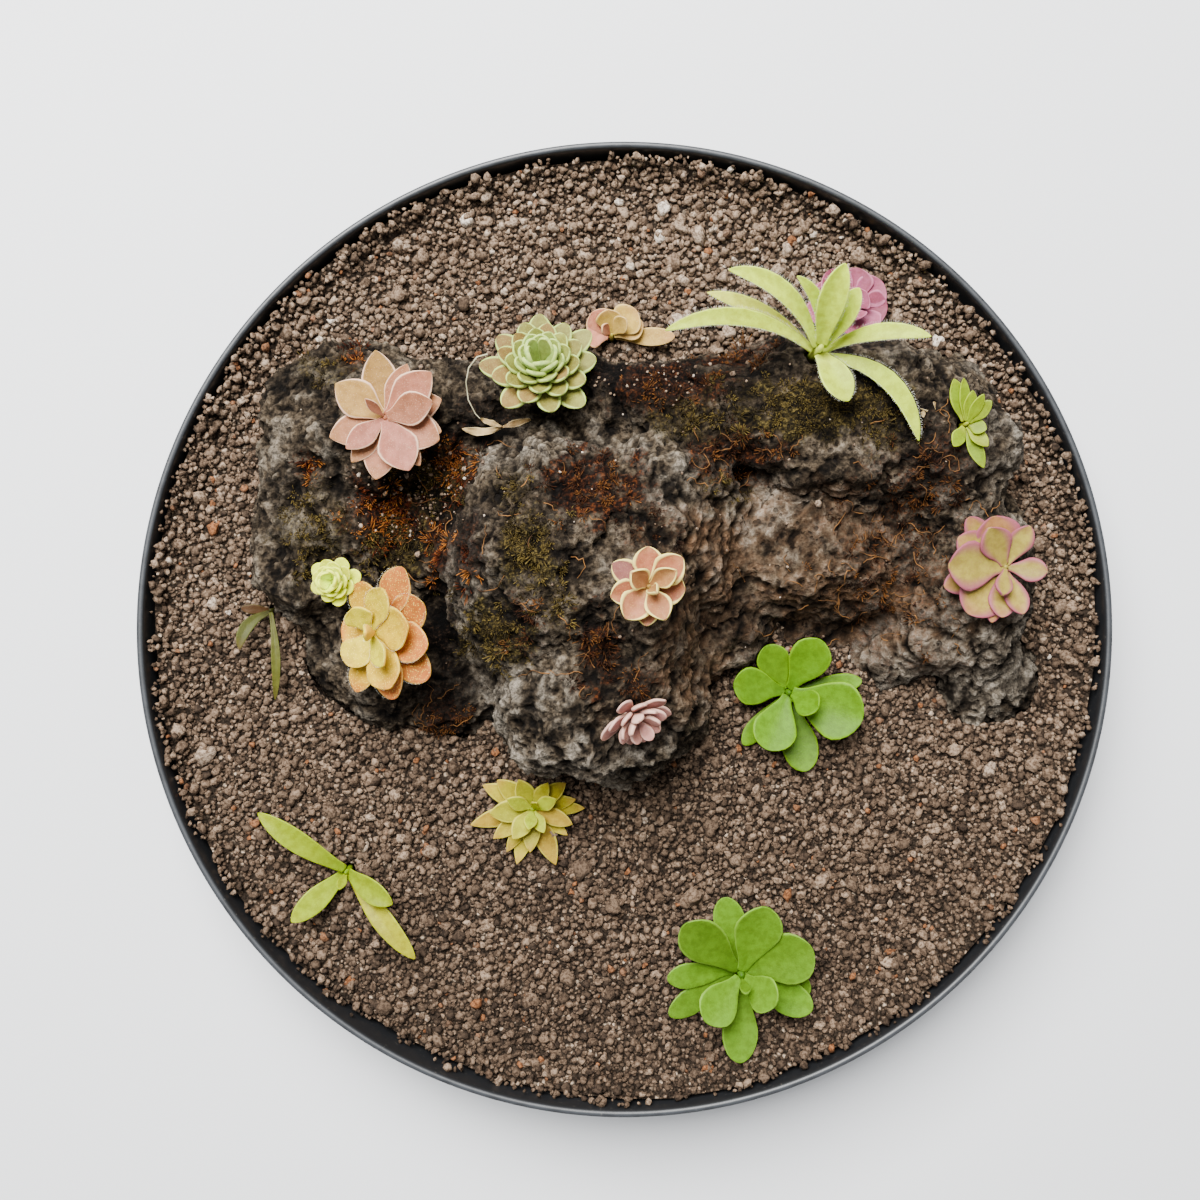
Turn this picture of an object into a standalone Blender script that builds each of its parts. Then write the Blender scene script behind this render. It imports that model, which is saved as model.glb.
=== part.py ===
"""Butterworts planted on a lava rock in a shallow round dish of mineral grit."""
import math
from collections import namedtuple

import bmesh
import bpy
from mathutils import Matrix, Vector, noise

# All sizes below are in millimetres and degrees. The origin is the middle of the dish's underside,
# +X runs across the dish, +Y towards the back of the rock and +Z up.
MM = 0.001

# Dish
RIM_RADIUS = 152.5
DISH_HEIGHT = 42.0
FLOOR_THICKNESS = 2.4
WALL_THICKNESS = 1.5
FOOT_RADIUS = 151.0
LIP_WIDTH = 2.3
LIP_DEPTH = 2.6
DISH_STEPS = 64
WELD = 0.01

# Grit bed
FIT_GAP = 0.3
GRIT_TOP = 31.0
GRIT_PILE = 7.0
GRIT_PILE_START = 132.0
# Low places along the wall: direction in degrees, depth, half width in degrees
GRIT_DIPS = ((60, 4.0, 10), (92, 1.5, 8), (192, 2.0, 12), (240, 6.5, 26))
GRIT_RELIEF = 1.6
GRIT_SPOKES = 64
GRIT_RINGS = (14, 42, 68, 91, 110, 126, 136, 143)

# Rock
ROCK_BASE = 15.0
ROCK_VOXEL = 2.6
ROCK_TRIANGLES = 2500
ROCK_LUMP = 26.0
ROCK_LUMP_HEIGHT = 5.0
ROCK_KNOB = 9.0
ROCK_KNOB_HEIGHT = 2.2

# Plants
BLADE_THICKNESS = 0.9
CROWN_SIDES = 6
STEM_TAPER = 0.8
HOLE_SIDES = 8
HOLE_HEADROOM = 8.0
SEAT_DROP = 1.4
SEAT_SHOULDER = 4.0
SEAT_HEADROOM = 9.0

Lobe = namedtuple("Lobe", "x y z across along tall turn")

# A leaf runs from the crown towards turn; its tip lies reach out and lift up, and sway bows it to its left
Leaf = namedtuple("Leaf", "turn reach width lift sway", defaults=(0,))

# A leaf's outline as (share of its length, share of its width), how its edges cup up, how its back bows up
# and the corners of its section: 3 for a flat face over a keel, 4 for a channelled face
Form = namedtuple("Form", "outline cup bow corners")

# A crown at x, y, z, whose axis leans from upright towards a direction, on a stem of a radius and depth
Plant = namedtuple("Plant", "name x y z toward lean stem depth form colour leaves")

# Lobes of the rock: centre, half sizes and turn about +Z
ROCK_LOBES = (
    Lobe(-82, 62, 34, 34, 27, 28, 0),
    Lobe(-92, 30, 30, 26, 36, 25, 8),
    Lobe(-76, -7, 26, 25, 24, 24, -20),
    Lobe(-54, 34, 26, 27, 36, 24, 0),
    Lobe(-54, -8, 22, 26, 27, 22, 0),
    Lobe(-52, 70, 32, 30, 17, 27, 0),
    Lobe(-22, 72, 33, 26, 17, 29, 0),
    Lobe(-19, 22, 38, 39, 44, 50, 0),
    Lobe(-8, -18, 37, 35, 31, 42, 0),
    Lobe(4, 12, 42, 19, 34, 40, 0),
    Lobe(10, 34, 40, 27, 34, 38, 0),
    Lobe(22, 68, 36, 48, 18, 32, 0),
    Lobe(66, 66, 36, 46, 26, 36, -4),
    Lobe(98, 56, 33, 27, 32, 32, 0),
    Lobe(106, 18, 30, 24, 40, 28, 10),
    Lobe(116, -14, 24, 20, 17, 19, 0),
    Lobe(92, -2, 22, 20, 16, 16, 20),
    Lobe(60, 28, 27, 46, 30, 27, 4),
    Lobe(26, 6, 24, 26, 22, 24, 0),
    Lobe(25, -9, 24, 15, 13, 10, 0),
    Lobe(57, 4, 24, 31, 13, 11, 0),
)

SPOON = Form(((0.0, 0.28), (0.34, 0.62), (0.66, 1.0), (0.91, 0.68)), 0.14, -0.03, 4)
ROSETTE = Form(((0.0, 0.26), (0.48, 0.86), (0.80, 0.90)), 0.12, -0.03, 4)
SCALE = Form(((0.0, 0.28), (0.52, 0.92), (0.82, 0.85)), 0.06, -0.03, 3)
POINTED = Form(((0.0, 0.28), (0.46, 1.0), (0.80, 0.70)), 0.14, -0.02, 4)
SPIKE = Form(((0.0, 0.32), (0.46, 1.0), (0.82, 0.62)), 0.08, -0.02, 3)
STRAP = Form(((0.0, 0.45), (0.30, 0.92), (0.62, 1.0), (0.90, 0.60)), 0.16, 0.16, 4)
NARROW = Form(((0.0, 0.40), (0.45, 1.0), (0.86, 0.66)), 0.12, 0.02, 3)
GOLDEN_TURN = 137.5


def whorl(count, outer, inner, first_turn=0.0):
    """Leaves set at the golden angle, from the outermost to the innermost."""
    leaves = []
    for index in range(count):
        inward = index / (count - 1)
        reach, width, lift = (start + (end - start) * inward ** 0.85 for start, end in zip(outer, inner))
        leaves.append(Leaf(first_turn + index * GOLDEN_TURN, reach, width, lift))
    return leaves


def listed(*rows):
    return [Leaf(*row) for row in rows]


PLANTS = (
    Plant("blush", -71, 63, 61, 0, 0, 1.9, 7, POINTED, (0.56, 0.33, 0.26), listed(
        (346, 17, 9, 2), (199, 17.5, 10, 2.5), (261, 18.5, 10.5, 2.5), (18, 17.5, 9.5, 3), (233, 16.5, 7, 3),
        (306, 17.5, 7, 2.5), (98, 20, 11, 3.5), (146, 17.5, 12, 4), (337, 17.5, 12.5, 4), (67, 17, 8, 4),
        (43, 19, 12, 5.5), (221, 14.5, 7.5, 6), (295, 17.5, 12.5, 5), (16, 15, 10.5, 7), (137, 6.5, 3, 9),
    )),
    Plant("sage", -25, 77, 62, 90, 17, 2.6, 8, SCALE, (0.42, 0.45, 0.20), whorl(
        34, (19, 10, 2), (3, 6, 14), 40,
    )),
    Plant("honey", -4, 93, 34, 0, 0, 1.5, 6, ROSETTE, (0.60, 0.42, 0.20), listed(
        (358, 20, 6, 4), (177, 8, 9, 4), (133, 9, 9.5, 5), (101, 7, 8.5, 7), (43, 10.5, 11, 6),
        (19, 10.5, 8.5, 4), (41, 5.5, 6, 9), (154, 3, 4, 9),
    )),
    Plant("longleaf", 56, 82, 64, 0, 0, 2.2, 9, STRAP, (0.55, 0.66, 0.18), listed(
        (319, 40, 6.5, 1, 7), (154, 36.5, 6, 8, -2), (3, 30, 6, 16, 3), (176, 45.5, 6, 16, -6),
        (297, 17.5, 10.5, 9), (145, 34, 6.5, 20, -5), (58, 17.5, 7.5, 18), (119, 19, 4, 24, -3),
        (79, 20, 8, 26, 1),
    )),
    Plant("magenta", 72, 102, 34, 0, 0, 1.8, 8, ROSETTE, (0.55, 0.26, 0.30), listed(
        (159, 14, 10, 3), (187, 15, 9, 3), (223, 12.5, 9, 4), (261, 10, 11, 5), (308, 11, 11, 4),
        (355, 11, 11.5, 4), (38, 12, 11.5, 4), (85, 12, 12, 4), (126, 13.5, 11, 4), (156, 6.5, 8, 7),
        (41, 5, 8.5, 7), (274, 5, 8, 8),
    )),
    Plant("tuft", 100, 61, 64, 0, 0, 1.4, 6, NARROW, (0.42, 0.52, 0.10), listed(
        (292, 14, 4.5, 1), (239, 8, 4.5, 3), (109, 13.5, 5.5, 4), (311, 9, 4.5, 3), (98, 13, 3.5, 5),
        (339, 5.5, 4.5, 4), (86, 9, 4, 6), (45, 8.5, 4.5, 6), (66, 8.5, 3.5, 7),
    )),
    Plant("rosy", 113, 19, 58, 0, 0, 1.9, 7, ROSETTE, (0.52, 0.40, 0.20), listed(
        (198, 19, 8.5, 2), (127, 18.5, 8, 2.5), (256, 17, 6, 2.5), (230, 18, 14, 3.5), (264, 15, 8.5, 4.5),
        (106, 15.5, 14, 5), (287, 14.5, 7.5, 6), (150, 17, 11, 5), (353, 11, 7.5, 7), (65, 13, 7.5, 8),
        (179, 18, 15, 7), (121, 13, 10, 9), (252, 8.5, 5.5, 9),
    )),
    Plant("lime", -88, 15, 51.7, 180, 10, 1.7, 6, SCALE, (0.60, 0.62, 0.18), whorl(
        18, (8.6, 6.5, 1.5), (2, 4.5, 8), 10,
    )),
    Plant("apricot", -75, -0.5, 52, 180, 25, 2.4, 8, ROSETTE, (0.60, 0.42, 0.12), listed(
        (324, 23.5, 9.5, 2), (25, 20, 11.5, 3), (59, 22.5, 11.5, 4), (291, 21.5, 9, 3), (348, 21, 12, 5),
        (253, 19, 7.5, 4), (178, 10, 9.5, 4), (101, 14.5, 9, 6), (300, 19, 11, 8), (7, 16.5, 13, 9),
        (240, 10, 8.5, 8), (60, 14.5, 8.5, 9), (109, 6, 8.5, 10), (317, 14, 6, 13), (1, 5, 5, 15),
    )),
    Plant("creamedge", 6, 13, 83, 0, 0, 1.7, 6, ROSETTE, (0.56, 0.34, 0.24), listed(
        (148, 12, 8.5, 2.5), (266, 11, 8, 3), (355, 10, 11.5, 3.5), (92, 11, 10.5, 4), (195, 11, 9, 5),
        (41, 12, 11, 6), (233, 11, 11, 6), (295, 10, 9, 8), (144, 6, 8, 9), (31, 8, 7, 10),
        (315, 2, 4.5, 11),
    )),
    Plant("lilac", 2, -23, 72.5, 300, 42, 1.7, 7, SPIKE, (0.60, 0.36, 0.36), whorl(
        13, (12, 7, 3), (4, 4, 10), 90,
    )),
    Plant("fern_green", 52, -20, 32.5, 0, 0, 2.2, 9, SPOON, (0.24, 0.38, 0.04), listed(
        (230, 22, 6.5, 2), (9, 23.5, 6.5, 4), (282, 25.5, 11.5, 5), (116, 16.5, 10.5, 6), (170, 18, 12, 8),
        (62, 19, 13, 12), (246, 19, 14, 11), (340, 23, 18.5, 13), (330, 8, 9, 17),
    )),
    Plant("straw", -29, -57, 32.5, 0, 0, 2.0, 8, SPIKE, (0.50, 0.46, 0.13), listed(
        (195, 20.5, 6.5, 2), (155, 17.5, 6.5, 2.5), (0, 16.5, 5, 2), (12, 14, 5, 3), (322, 14, 4.5, 2),
        (292, 19.5, 7, 2), (254, 18.5, 6, 2), (239, 16, 5, 3), (39, 13.5, 6, 5), (217, 15.5, 6, 4),
        (140, 14.5, 7, 5), (267, 13.5, 6, 5), (340, 13.5, 6, 5), (60, 10, 5, 7), (114, 10.5, 6.5, 7),
        (184, 13.5, 7.5, 6), (236, 10.5, 6.5, 8), (27, 8.5, 5, 9), (300, 7.5, 4.5, 9), (153, 8.5, 5, 9),
        (262, 5, 4.5, 11), (62, 3.5, 3, 12),
    )),
    Plant("apple", 37, -109, 32.5, 0, 0, 2.6, 9, SPOON, (0.24, 0.40, 0.07), listed(
        (102, 24.5, 10, 3), (211, 26.5, 8.5, 3), (183, 23.5, 8.5, 5), (347, 22.5, 11, 5), (269, 28, 11.5, 5),
        (334, 24.5, 11, 7), (137, 25.5, 14.5, 12), (25, 23.5, 17, 13), (74, 24.5, 15, 15),
        (225, 17, 13, 14), (329, 10.5, 11.5, 18), (278, 1.5, 3.5, 18),
    )),
    Plant("ribbon", -88, -77, 32.5, 0, 0, 1.6, 8, STRAP, (0.45, 0.52, 0.06), listed(
        (222, 22, 7.5, 8), (311, 34.5, 7, 9), (143, 33, 7, 10), (333, 18, 7.5, 12), (257, 4, 3, 10),
    )),
    Plant("olive", -112, 6, 34, 0, 0, 1.3, 7, STRAP, (0.20, 0.22, 0.05), listed(
        (177, 9, 4, 3), (235, 15, 4.5, 6, -2.5), (274, 28.5, 4, 4),
    )),
)
GRIT_PLANTS = ("honey", "magenta", "fern_green", "straw", "apple", "ribbon", "olive")


def clear_scene():
    for item in list(bpy.data.objects):
        bpy.data.objects.remove(item, do_unlink=True)


def collection(name):
    group = bpy.data.collections.new(name)
    bpy.context.scene.collection.children.link(group)
    return group


def material(name, colour, roughness):
    finish = bpy.data.materials.new(name)
    finish.use_nodes = True
    shader = finish.node_tree.nodes["Principled BSDF"]
    shader.inputs["Base Color"].default_value = (*colour, 1.0)
    shader.inputs["Roughness"].default_value = roughness
    shader.inputs["Metallic"].default_value = 0.0
    return finish


def add_object(name, mesh, group, finish=None):
    item = bpy.data.objects.new(name, mesh)
    group.objects.link(item)
    if finish:
        mesh.materials.append(finish)
    return item


def as_guide(item):
    item.hide_render = True
    item.display_type = "WIRE"


def mesh_from(name, bm, smooth=True):
    mesh = bpy.data.meshes.new(name)
    bm.to_mesh(mesh)
    bm.free()
    if smooth:
        mesh.shade_smooth()
    return mesh


def bake(item):
    """Applies an object's modifiers to its own mesh."""
    bpy.context.view_layer.update()
    graph = bpy.context.evaluated_depsgraph_get()
    mesh = bpy.data.meshes.new_from_object(item.evaluated_get(graph), depsgraph=graph)
    item.modifiers.clear()
    item.data = mesh


def boolean(item, operation, group, solver="MANIFOLD"):
    cut = item.modifiers.new(operation.title(), "BOOLEAN")
    cut.operation = operation
    cut.operand_type = "COLLECTION"
    cut.collection = group
    cut.solver = solver
    return cut


# Dish

def make_dish(group):
    """Turned profile: floor, inner wall, rolled lip, outer wall and flat underside."""
    inner_foot = FOOT_RADIUS - WALL_THICKNESS
    inner_rim = RIM_RADIUS - LIP_WIDTH
    profile = (
        (0.0, FLOOR_THICKNESS),
        (inner_foot - 2.5, FLOOR_THICKNESS),
        (inner_foot, FLOOR_THICKNESS + 2.5),
        (inner_rim, DISH_HEIGHT - 1.0),
        (inner_rim + 0.8, DISH_HEIGHT),
        (RIM_RADIUS - 0.8, DISH_HEIGHT),
        (RIM_RADIUS, DISH_HEIGHT - 0.8),
        (RIM_RADIUS, DISH_HEIGHT - LIP_DEPTH),
        (inner_rim + WALL_THICKNESS, DISH_HEIGHT - LIP_DEPTH - 0.6),
        (FOOT_RADIUS, 2.2),
        (FOOT_RADIUS - 2.2, 0.0),
        (0.0, 0.0),
    )
    bm = bmesh.new()
    rail = [bm.verts.new((radius * MM, 0.0, height * MM)) for radius, height in profile]
    for start, end in zip(rail, rail[1:]):
        bm.edges.new((start, end))
    plastic = material("dish", (0.012, 0.013, 0.014), 0.5)
    dish = add_object("dish", mesh_from("dish", bm, smooth=False), group, plastic)
    turned = dish.modifiers.new("Turned", "SCREW")
    turned.steps = DISH_STEPS
    turned.render_steps = DISH_STEPS
    turned.use_merge_vertices = True
    turned.merge_threshold = WELD * MM
    turned.use_smooth_shade = True
    return dish


# Rock

def rock_mesh():
    """Overlapping lobes, each a stretched ball."""
    bm = bmesh.new()
    for lobe in ROCK_LOBES:
        place = Matrix.Translation(Vector((lobe.x, lobe.y, lobe.z)) * MM)
        turn = Matrix.Rotation(math.radians(lobe.turn), 4, "Z")
        size = Matrix.Diagonal((lobe.across * MM, lobe.along * MM, lobe.tall * MM, 1.0))
        bmesh.ops.create_icosphere(bm, subdivisions=4, radius=1.0, matrix=place @ turn @ size)
    return mesh_from("lava_rock", bm)


def weather(mesh):
    """Lumps and knobs of broken lava, pushed out along the surface."""
    places = [vertex.co.copy() for vertex in mesh.vertices]
    pushes = [vertex.normal.copy() for vertex in mesh.vertices]
    for vertex, place, push in zip(mesh.vertices, places, pushes):
        at = place / MM
        lump = noise.fractal(at / ROCK_LUMP, 1.0, 2.0, 3)
        knob = noise.ridged_multi_fractal(at / ROCK_KNOB, 1.0, 2.0, 2, 1.0, 2.0) - 1.2
        vertex.co = place + push * MM * (lump * ROCK_LUMP_HEIGHT + knob * ROCK_KNOB_HEIGHT)


def islands(bm):
    """The mesh's loose bodies, each a set of vertices."""
    found = []
    left = set(bm.verts)
    while left:
        front = [left.pop()]
        body = set(front)
        while front:
            vertex = front.pop()
            for edge in vertex.link_edges:
                other = edge.other_vert(vertex)
                if other in left:
                    left.remove(other)
                    body.add(other)
                    front.append(other)
        found.append(body)
    return found


def keep_largest(mesh):
    """Fills inner hollows and drops scraps, so one skin is left."""
    bm = bmesh.new()
    bm.from_mesh(mesh)
    bodies = sorted(islands(bm), key=len)
    for body in bodies[:-1]:
        bmesh.ops.delete(bm, geom=list(body), context="VERTS")
    bm.to_mesh(mesh)
    bm.free()


def flatten_base(mesh):
    bm = bmesh.new()
    bm.from_mesh(mesh)
    faces = bm.verts[:] + bm.edges[:] + bm.faces[:]
    cut = bmesh.ops.bisect_plane(
        bm, geom=faces, plane_co=(0, 0, ROCK_BASE * MM), plane_no=(0, 0, 1), clear_inner=True
    )
    rim = [edge for edge in cut["geom_cut"] if isinstance(edge, bmesh.types.BMEdge)]
    bmesh.ops.holes_fill(bm, edges=rim)
    bmesh.ops.triangulate(bm, faces=bm.faces[:])
    bm.to_mesh(mesh)
    bm.free()


def make_rock(group, plants):
    rock = add_object("lava_rock", rock_mesh(), group, material("lava_rock", (0.045, 0.042, 0.04), 0.9))
    skin = rock.modifiers.new("Skin", "REMESH")
    skin.mode = "VOXEL"
    skin.voxel_size = ROCK_VOXEL * MM
    bake(rock)
    weather(rock.data)
    flatten_base(rock.data)
    keep_largest(rock.data)
    fewer = rock.modifiers.new("Fewer faces", "DECIMATE")
    fewer.ratio = min(1.0, ROCK_TRIANGLES / len(rock.data.polygons))
    bake(rock)
    settle(rock.data, plants)
    rock.data.shade_smooth()
    return rock


def swollen(item, name, gap, group):
    """A copy that stands a gap proud of the original all round."""
    bm = bmesh.new()
    bm.from_mesh(item.data)
    pushes = [vertex.normal * min(vertex.calc_shell_factor(), 2.0) for vertex in bm.verts]
    for vertex, push in zip(bm.verts, pushes):
        vertex.co += push * gap * MM
    copy = add_object(name, mesh_from(name, bm), group)
    as_guide(copy)
    return copy


# Grit bed

def grit_edge(angle):
    """Ragged outline of the bed, set in from the dish's wall."""
    ripple = 0.4 * math.sin(7 * angle) + 0.3 * math.sin(13 * angle + 1.0) + 0.3 * math.sin(29 * angle)
    return FOOT_RADIUS - WALL_THICKNESS - FIT_GAP - 0.6 + 0.5 * ripple


def grit_height(x, y):
    """The bed is level in the middle and is pushed up along the wall, less so at a few low places."""
    radius = math.hypot(x, y)
    angle = math.degrees(math.atan2(y, x)) % 360
    dip = sum(depth * math.exp(-((angle - middle) / width) ** 2) for middle, depth, width in GRIT_DIPS)
    edge = max(0.0, radius - GRIT_PILE_START) / (FOOT_RADIUS - WALL_THICKNESS - GRIT_PILE_START)
    relief = GRIT_RELIEF * noise.fractal(Vector((x, y, 0.0)) / 12.0, 1.0, 2.0, 2)
    return GRIT_TOP + edge ** 2 * (GRIT_PILE - dip) + relief


def make_substrate(group, cutters):
    """A bed of rings over the dish's floor, cut for the rock and the stems."""
    bm = bmesh.new()
    floor = FLOOR_THICKNESS + FIT_GAP
    middle = bm.verts.new((0.0, 0.0, grit_height(0.0, 0.0) * MM))
    rings = []
    for radius in GRIT_RINGS + ("edge", "foot"):
        ring = []
        for spoke in range(GRIT_SPOKES):
            angle = 2 * math.pi * spoke / GRIT_SPOKES
            reach = grit_edge(angle) if isinstance(radius, str) else radius
            x = reach * math.cos(angle)
            y = reach * math.sin(angle)
            if radius == "foot":
                ring.append(bm.verts.new((x * 0.985 * MM, y * 0.985 * MM, floor * MM)))
            else:
                ring.append(bm.verts.new((x * MM, y * MM, grit_height(x, y) * MM)))
        rings.append(ring)
    for spoke in range(GRIT_SPOKES):
        following = (spoke + 1) % GRIT_SPOKES
        bm.faces.new((middle, rings[0][spoke], rings[0][following]))
        for inner, outer in zip(rings, rings[1:]):
            bm.faces.new((inner[spoke], outer[spoke], outer[following], inner[following]))
    bm.faces.new(list(reversed(rings[-1])))
    bmesh.ops.triangulate(bm, faces=bm.faces[:])
    grit = material("substrate", (0.2, 0.15, 0.11), 0.95)
    bed = add_object("substrate", mesh_from("substrate", bm), group, grit)
    boolean(bed, "DIFFERENCE", cutters)
    return bed


# Plants

def plant_frame(plant):
    """Places a plant's own frame: +Z along its axis, turned as little as its lean needs."""
    toward = math.radians(plant.toward)
    hinge = Vector((-math.sin(toward), math.cos(toward), 0.0))
    lean = Matrix.Rotation(math.radians(plant.lean), 4, hinge)
    return Matrix.Translation(Vector((plant.x, plant.y, plant.z)) * MM) @ lean


def leaf_mesh(name, leaf, form, root_reach, root_height):
    """A blade with cupped edges and a keel, lofted along a curved rib from the crown to the tip."""
    turn = math.radians(leaf.turn)
    out = Vector((math.cos(turn), math.sin(turn), 0.0))
    left = Vector((-math.sin(turn), math.cos(turn), 0.0))
    up = Vector((0.0, 0.0, 1.0))
    root = out * root_reach + up * root_height
    tip = out * max(leaf.reach, root_reach + 1.0) + up * leaf.lift
    bend = (root + tip) / 2 + up * (form.bow * leaf.reach) + left * (2.0 * leaf.sway)
    bm = bmesh.new()
    rows = []
    for along, share in form.outline:
        rib = root * (1 - along) ** 2 + bend * (2 * along * (1 - along)) + tip * along ** 2
        run = ((bend - root) * (1 - along) + (tip - bend) * along).normalized()
        across = (left - run * left.dot(run)).normalized()
        face = run.cross(across)
        half = 0.5 * leaf.width * share
        edge = face * (form.cup * half)
        keel = face * (-BLADE_THICKNESS * (1.15 - 0.35 * along))
        row = (rib + across * half + edge, rib + keel, rib - across * half + edge, rib)
        rows.append([bm.verts.new(point * MM) for point in row[:form.corners]])
    point = bm.verts.new(tip * MM)
    bm.faces.new(list(reversed(rows[0])))
    for near, far in zip(rows, rows[1:]):
        for side in range(form.corners):
            following = (side + 1) % form.corners
            bm.faces.new((near[side], near[following], far[following], far[side]))
    for side in range(form.corners):
        bm.faces.new((rows[-1][side], rows[-1][(side + 1) % form.corners], point))
    bmesh.ops.recalc_face_normals(bm, faces=bm.faces[:])
    bmesh.ops.triangulate(bm, faces=bm.faces[:])
    return mesh_from(name, bm)


def stem_mesh(name, radius, depth, height):
    """A stem that widens into the crown, turned about the plant's axis."""
    levels = (
        (radius * STEM_TAPER, -depth),
        (radius, -1.5),
        (radius * 1.3, height * 0.5),
        (radius * 0.7, height * 1.1),
    )
    bm = bmesh.new()
    rings = []
    for reach, level in levels:
        angles = [2 * math.pi * side / CROWN_SIDES for side in range(CROWN_SIDES)]
        ring = [(reach * math.cos(angle) * MM, reach * math.sin(angle) * MM, level * MM) for angle in angles]
        rings.append([bm.verts.new(point) for point in ring])
    for low, high in zip(rings, rings[1:]):
        for side in range(CROWN_SIDES):
            following = (side + 1) % CROWN_SIDES
            bm.faces.new((low[side], low[following], high[following], high[side]))
    bm.faces.new(list(reversed(rings[0])))
    bm.faces.new(rings[-1])
    bmesh.ops.triangulate(bm, faces=bm.faces[:])
    return mesh_from(name, bm)


def make_plant(plant, group):
    """Fuses the leaves to the crown; the innermost leaves leave it highest."""
    name = "butterwort_" + plant.name
    blades = collection(name + "_leaves")
    crown_height = max(2.0, 0.45 * max(leaf.lift for leaf in plant.leaves))
    count = len(plant.leaves)
    for index, leaf in enumerate(plant.leaves):
        root_height = 0.2 + crown_height * 0.85 * index / count
        blade_mesh = leaf_mesh("leaf", leaf, plant.form, 0.7 * plant.stem, root_height)
        blade = add_object("leaf", blade_mesh, blades)
        as_guide(blade)
    stem = stem_mesh(name, plant.stem, plant.depth, crown_height)
    body = add_object(name, stem, group, material(name, plant.colour, 0.45))
    boolean(body, "UNION", blades)
    bake(body)
    for blade in list(blades.objects):
        bpy.data.objects.remove(blade, do_unlink=True)
    bpy.data.collections.remove(blades)
    body.data.materials.clear()
    body.data.materials.append(bpy.data.materials[name])
    body.data.shade_smooth()
    body.matrix_world = plant_frame(plant)
    return body


def stem_hole(plant, group):
    """A plain round hole that leaves the stem its gap."""
    bm = bmesh.new()
    radius = (plant.stem + 2 * FIT_GAP) * MM
    bottom = -(plant.depth + FIT_GAP) * MM
    top = HOLE_HEADROOM * MM
    bmesh.ops.create_cone(
        bm, cap_ends=True, cap_tris=False, segments=HOLE_SIDES, radius1=radius, radius2=radius,
        depth=top - bottom, matrix=Matrix.Translation((0, 0, (top + bottom) / 2)),
    )
    hole = add_object("hole_" + plant.name, mesh_from("hole", bm), group)
    hole.matrix_world = plant_frame(plant)
    as_guide(hole)
    return hole


def settle(mesh, plants):
    """Presses the rock flat below each rosette, so its leaves lie clear of it."""
    for plant in plants:
        to_world = plant_frame(plant)
        to_plant = to_world.inverted()
        spread = max(leaf.reach for leaf in plant.leaves if leaf.lift < 8) + 1.5
        for vertex in mesh.vertices:
            place = to_plant @ vertex.co / MM
            radius = math.hypot(place.x, place.y)
            if radius > spread + SEAT_SHOULDER or place.z > SEAT_HEADROOM:
                continue
            rise = max(0.0, radius - spread) / SEAT_SHOULDER
            seat = -SEAT_DROP + rise * SEAT_HEADROOM
            if place.z > seat:
                vertex.co = to_world @ (Vector((place.x, place.y, seat)) * MM)


def main():
    clear_scene()
    parts = collection("planted_butterwort_dish")
    rock_cutters = collection("rock_cutters")
    grit_cutters = collection("grit_cutters")
    on_rock = [plant for plant in PLANTS if plant.name not in GRIT_PLANTS]
    on_grit = [plant for plant in PLANTS if plant.name in GRIT_PLANTS]
    make_dish(parts)
    rock = make_rock(parts, on_rock)
    swollen(rock, "rock_pocket", FIT_GAP + 0.1, grit_cutters)
    make_substrate(parts, grit_cutters)
    for plant in on_rock:
        stem_hole(plant, rock_cutters)
    for plant in on_grit:
        stem_hole(plant, grit_cutters)
    boolean(rock, "DIFFERENCE", rock_cutters)
    for plant in PLANTS:
        make_plant(plant, parts)


main()
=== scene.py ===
"""Planted butterwort dish: the looks of the rock, grit, moss and rosettes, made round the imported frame."""
import math
import random
from collections import namedtuple

import bmesh
import bpy
import numpy as np
from bpy.props import FloatProperty, FloatVectorProperty, IntProperty, PointerProperty
from mathutils import Matrix, Vector, noise
from mathutils.bvhtree import BVHTree


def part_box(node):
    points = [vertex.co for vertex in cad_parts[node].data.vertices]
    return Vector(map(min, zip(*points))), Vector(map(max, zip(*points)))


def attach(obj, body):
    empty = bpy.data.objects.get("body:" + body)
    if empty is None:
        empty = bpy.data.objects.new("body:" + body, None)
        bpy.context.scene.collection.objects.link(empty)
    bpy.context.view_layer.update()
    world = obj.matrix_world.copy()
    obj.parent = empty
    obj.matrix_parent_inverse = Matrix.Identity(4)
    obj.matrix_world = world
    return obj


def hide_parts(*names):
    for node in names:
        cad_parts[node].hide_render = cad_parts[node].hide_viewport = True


bl_info = {
    "name": "Planted Butterwort Dish",
    "version": (1, 0, 0),
    "blender": (4, 5, 0),
    "location": "View3D > Sidebar > Butterworts",
    "description": "Dresses a dish of butterworts on a lava rock with grit, moss and fleshy leaves",
    "category": "Add Mesh",
}

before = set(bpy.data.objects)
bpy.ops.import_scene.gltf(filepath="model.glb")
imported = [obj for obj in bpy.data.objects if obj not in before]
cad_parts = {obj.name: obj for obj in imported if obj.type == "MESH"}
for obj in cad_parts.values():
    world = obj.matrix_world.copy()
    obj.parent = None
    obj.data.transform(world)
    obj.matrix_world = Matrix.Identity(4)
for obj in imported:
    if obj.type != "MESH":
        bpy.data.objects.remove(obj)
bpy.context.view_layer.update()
MM = 0.001
UP = Vector((0.0, 0.0, 1.0))
SKY = 0.1  # where rays straight down start, in metres, above every piece
WELD = 0.001 * MM
TURN = 6.28  # about a full turn, for phases and spins
RUBBED = (41.4, 42.0)  # heights between which the dish's rim is rubbed
GLAND = 0.55  # distance between a leaf's gland dots
GRIT_FINISH = "Pumice and fired clay grit"


def clamp(value):
    return min(1.0, max(0.0, value))


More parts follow.
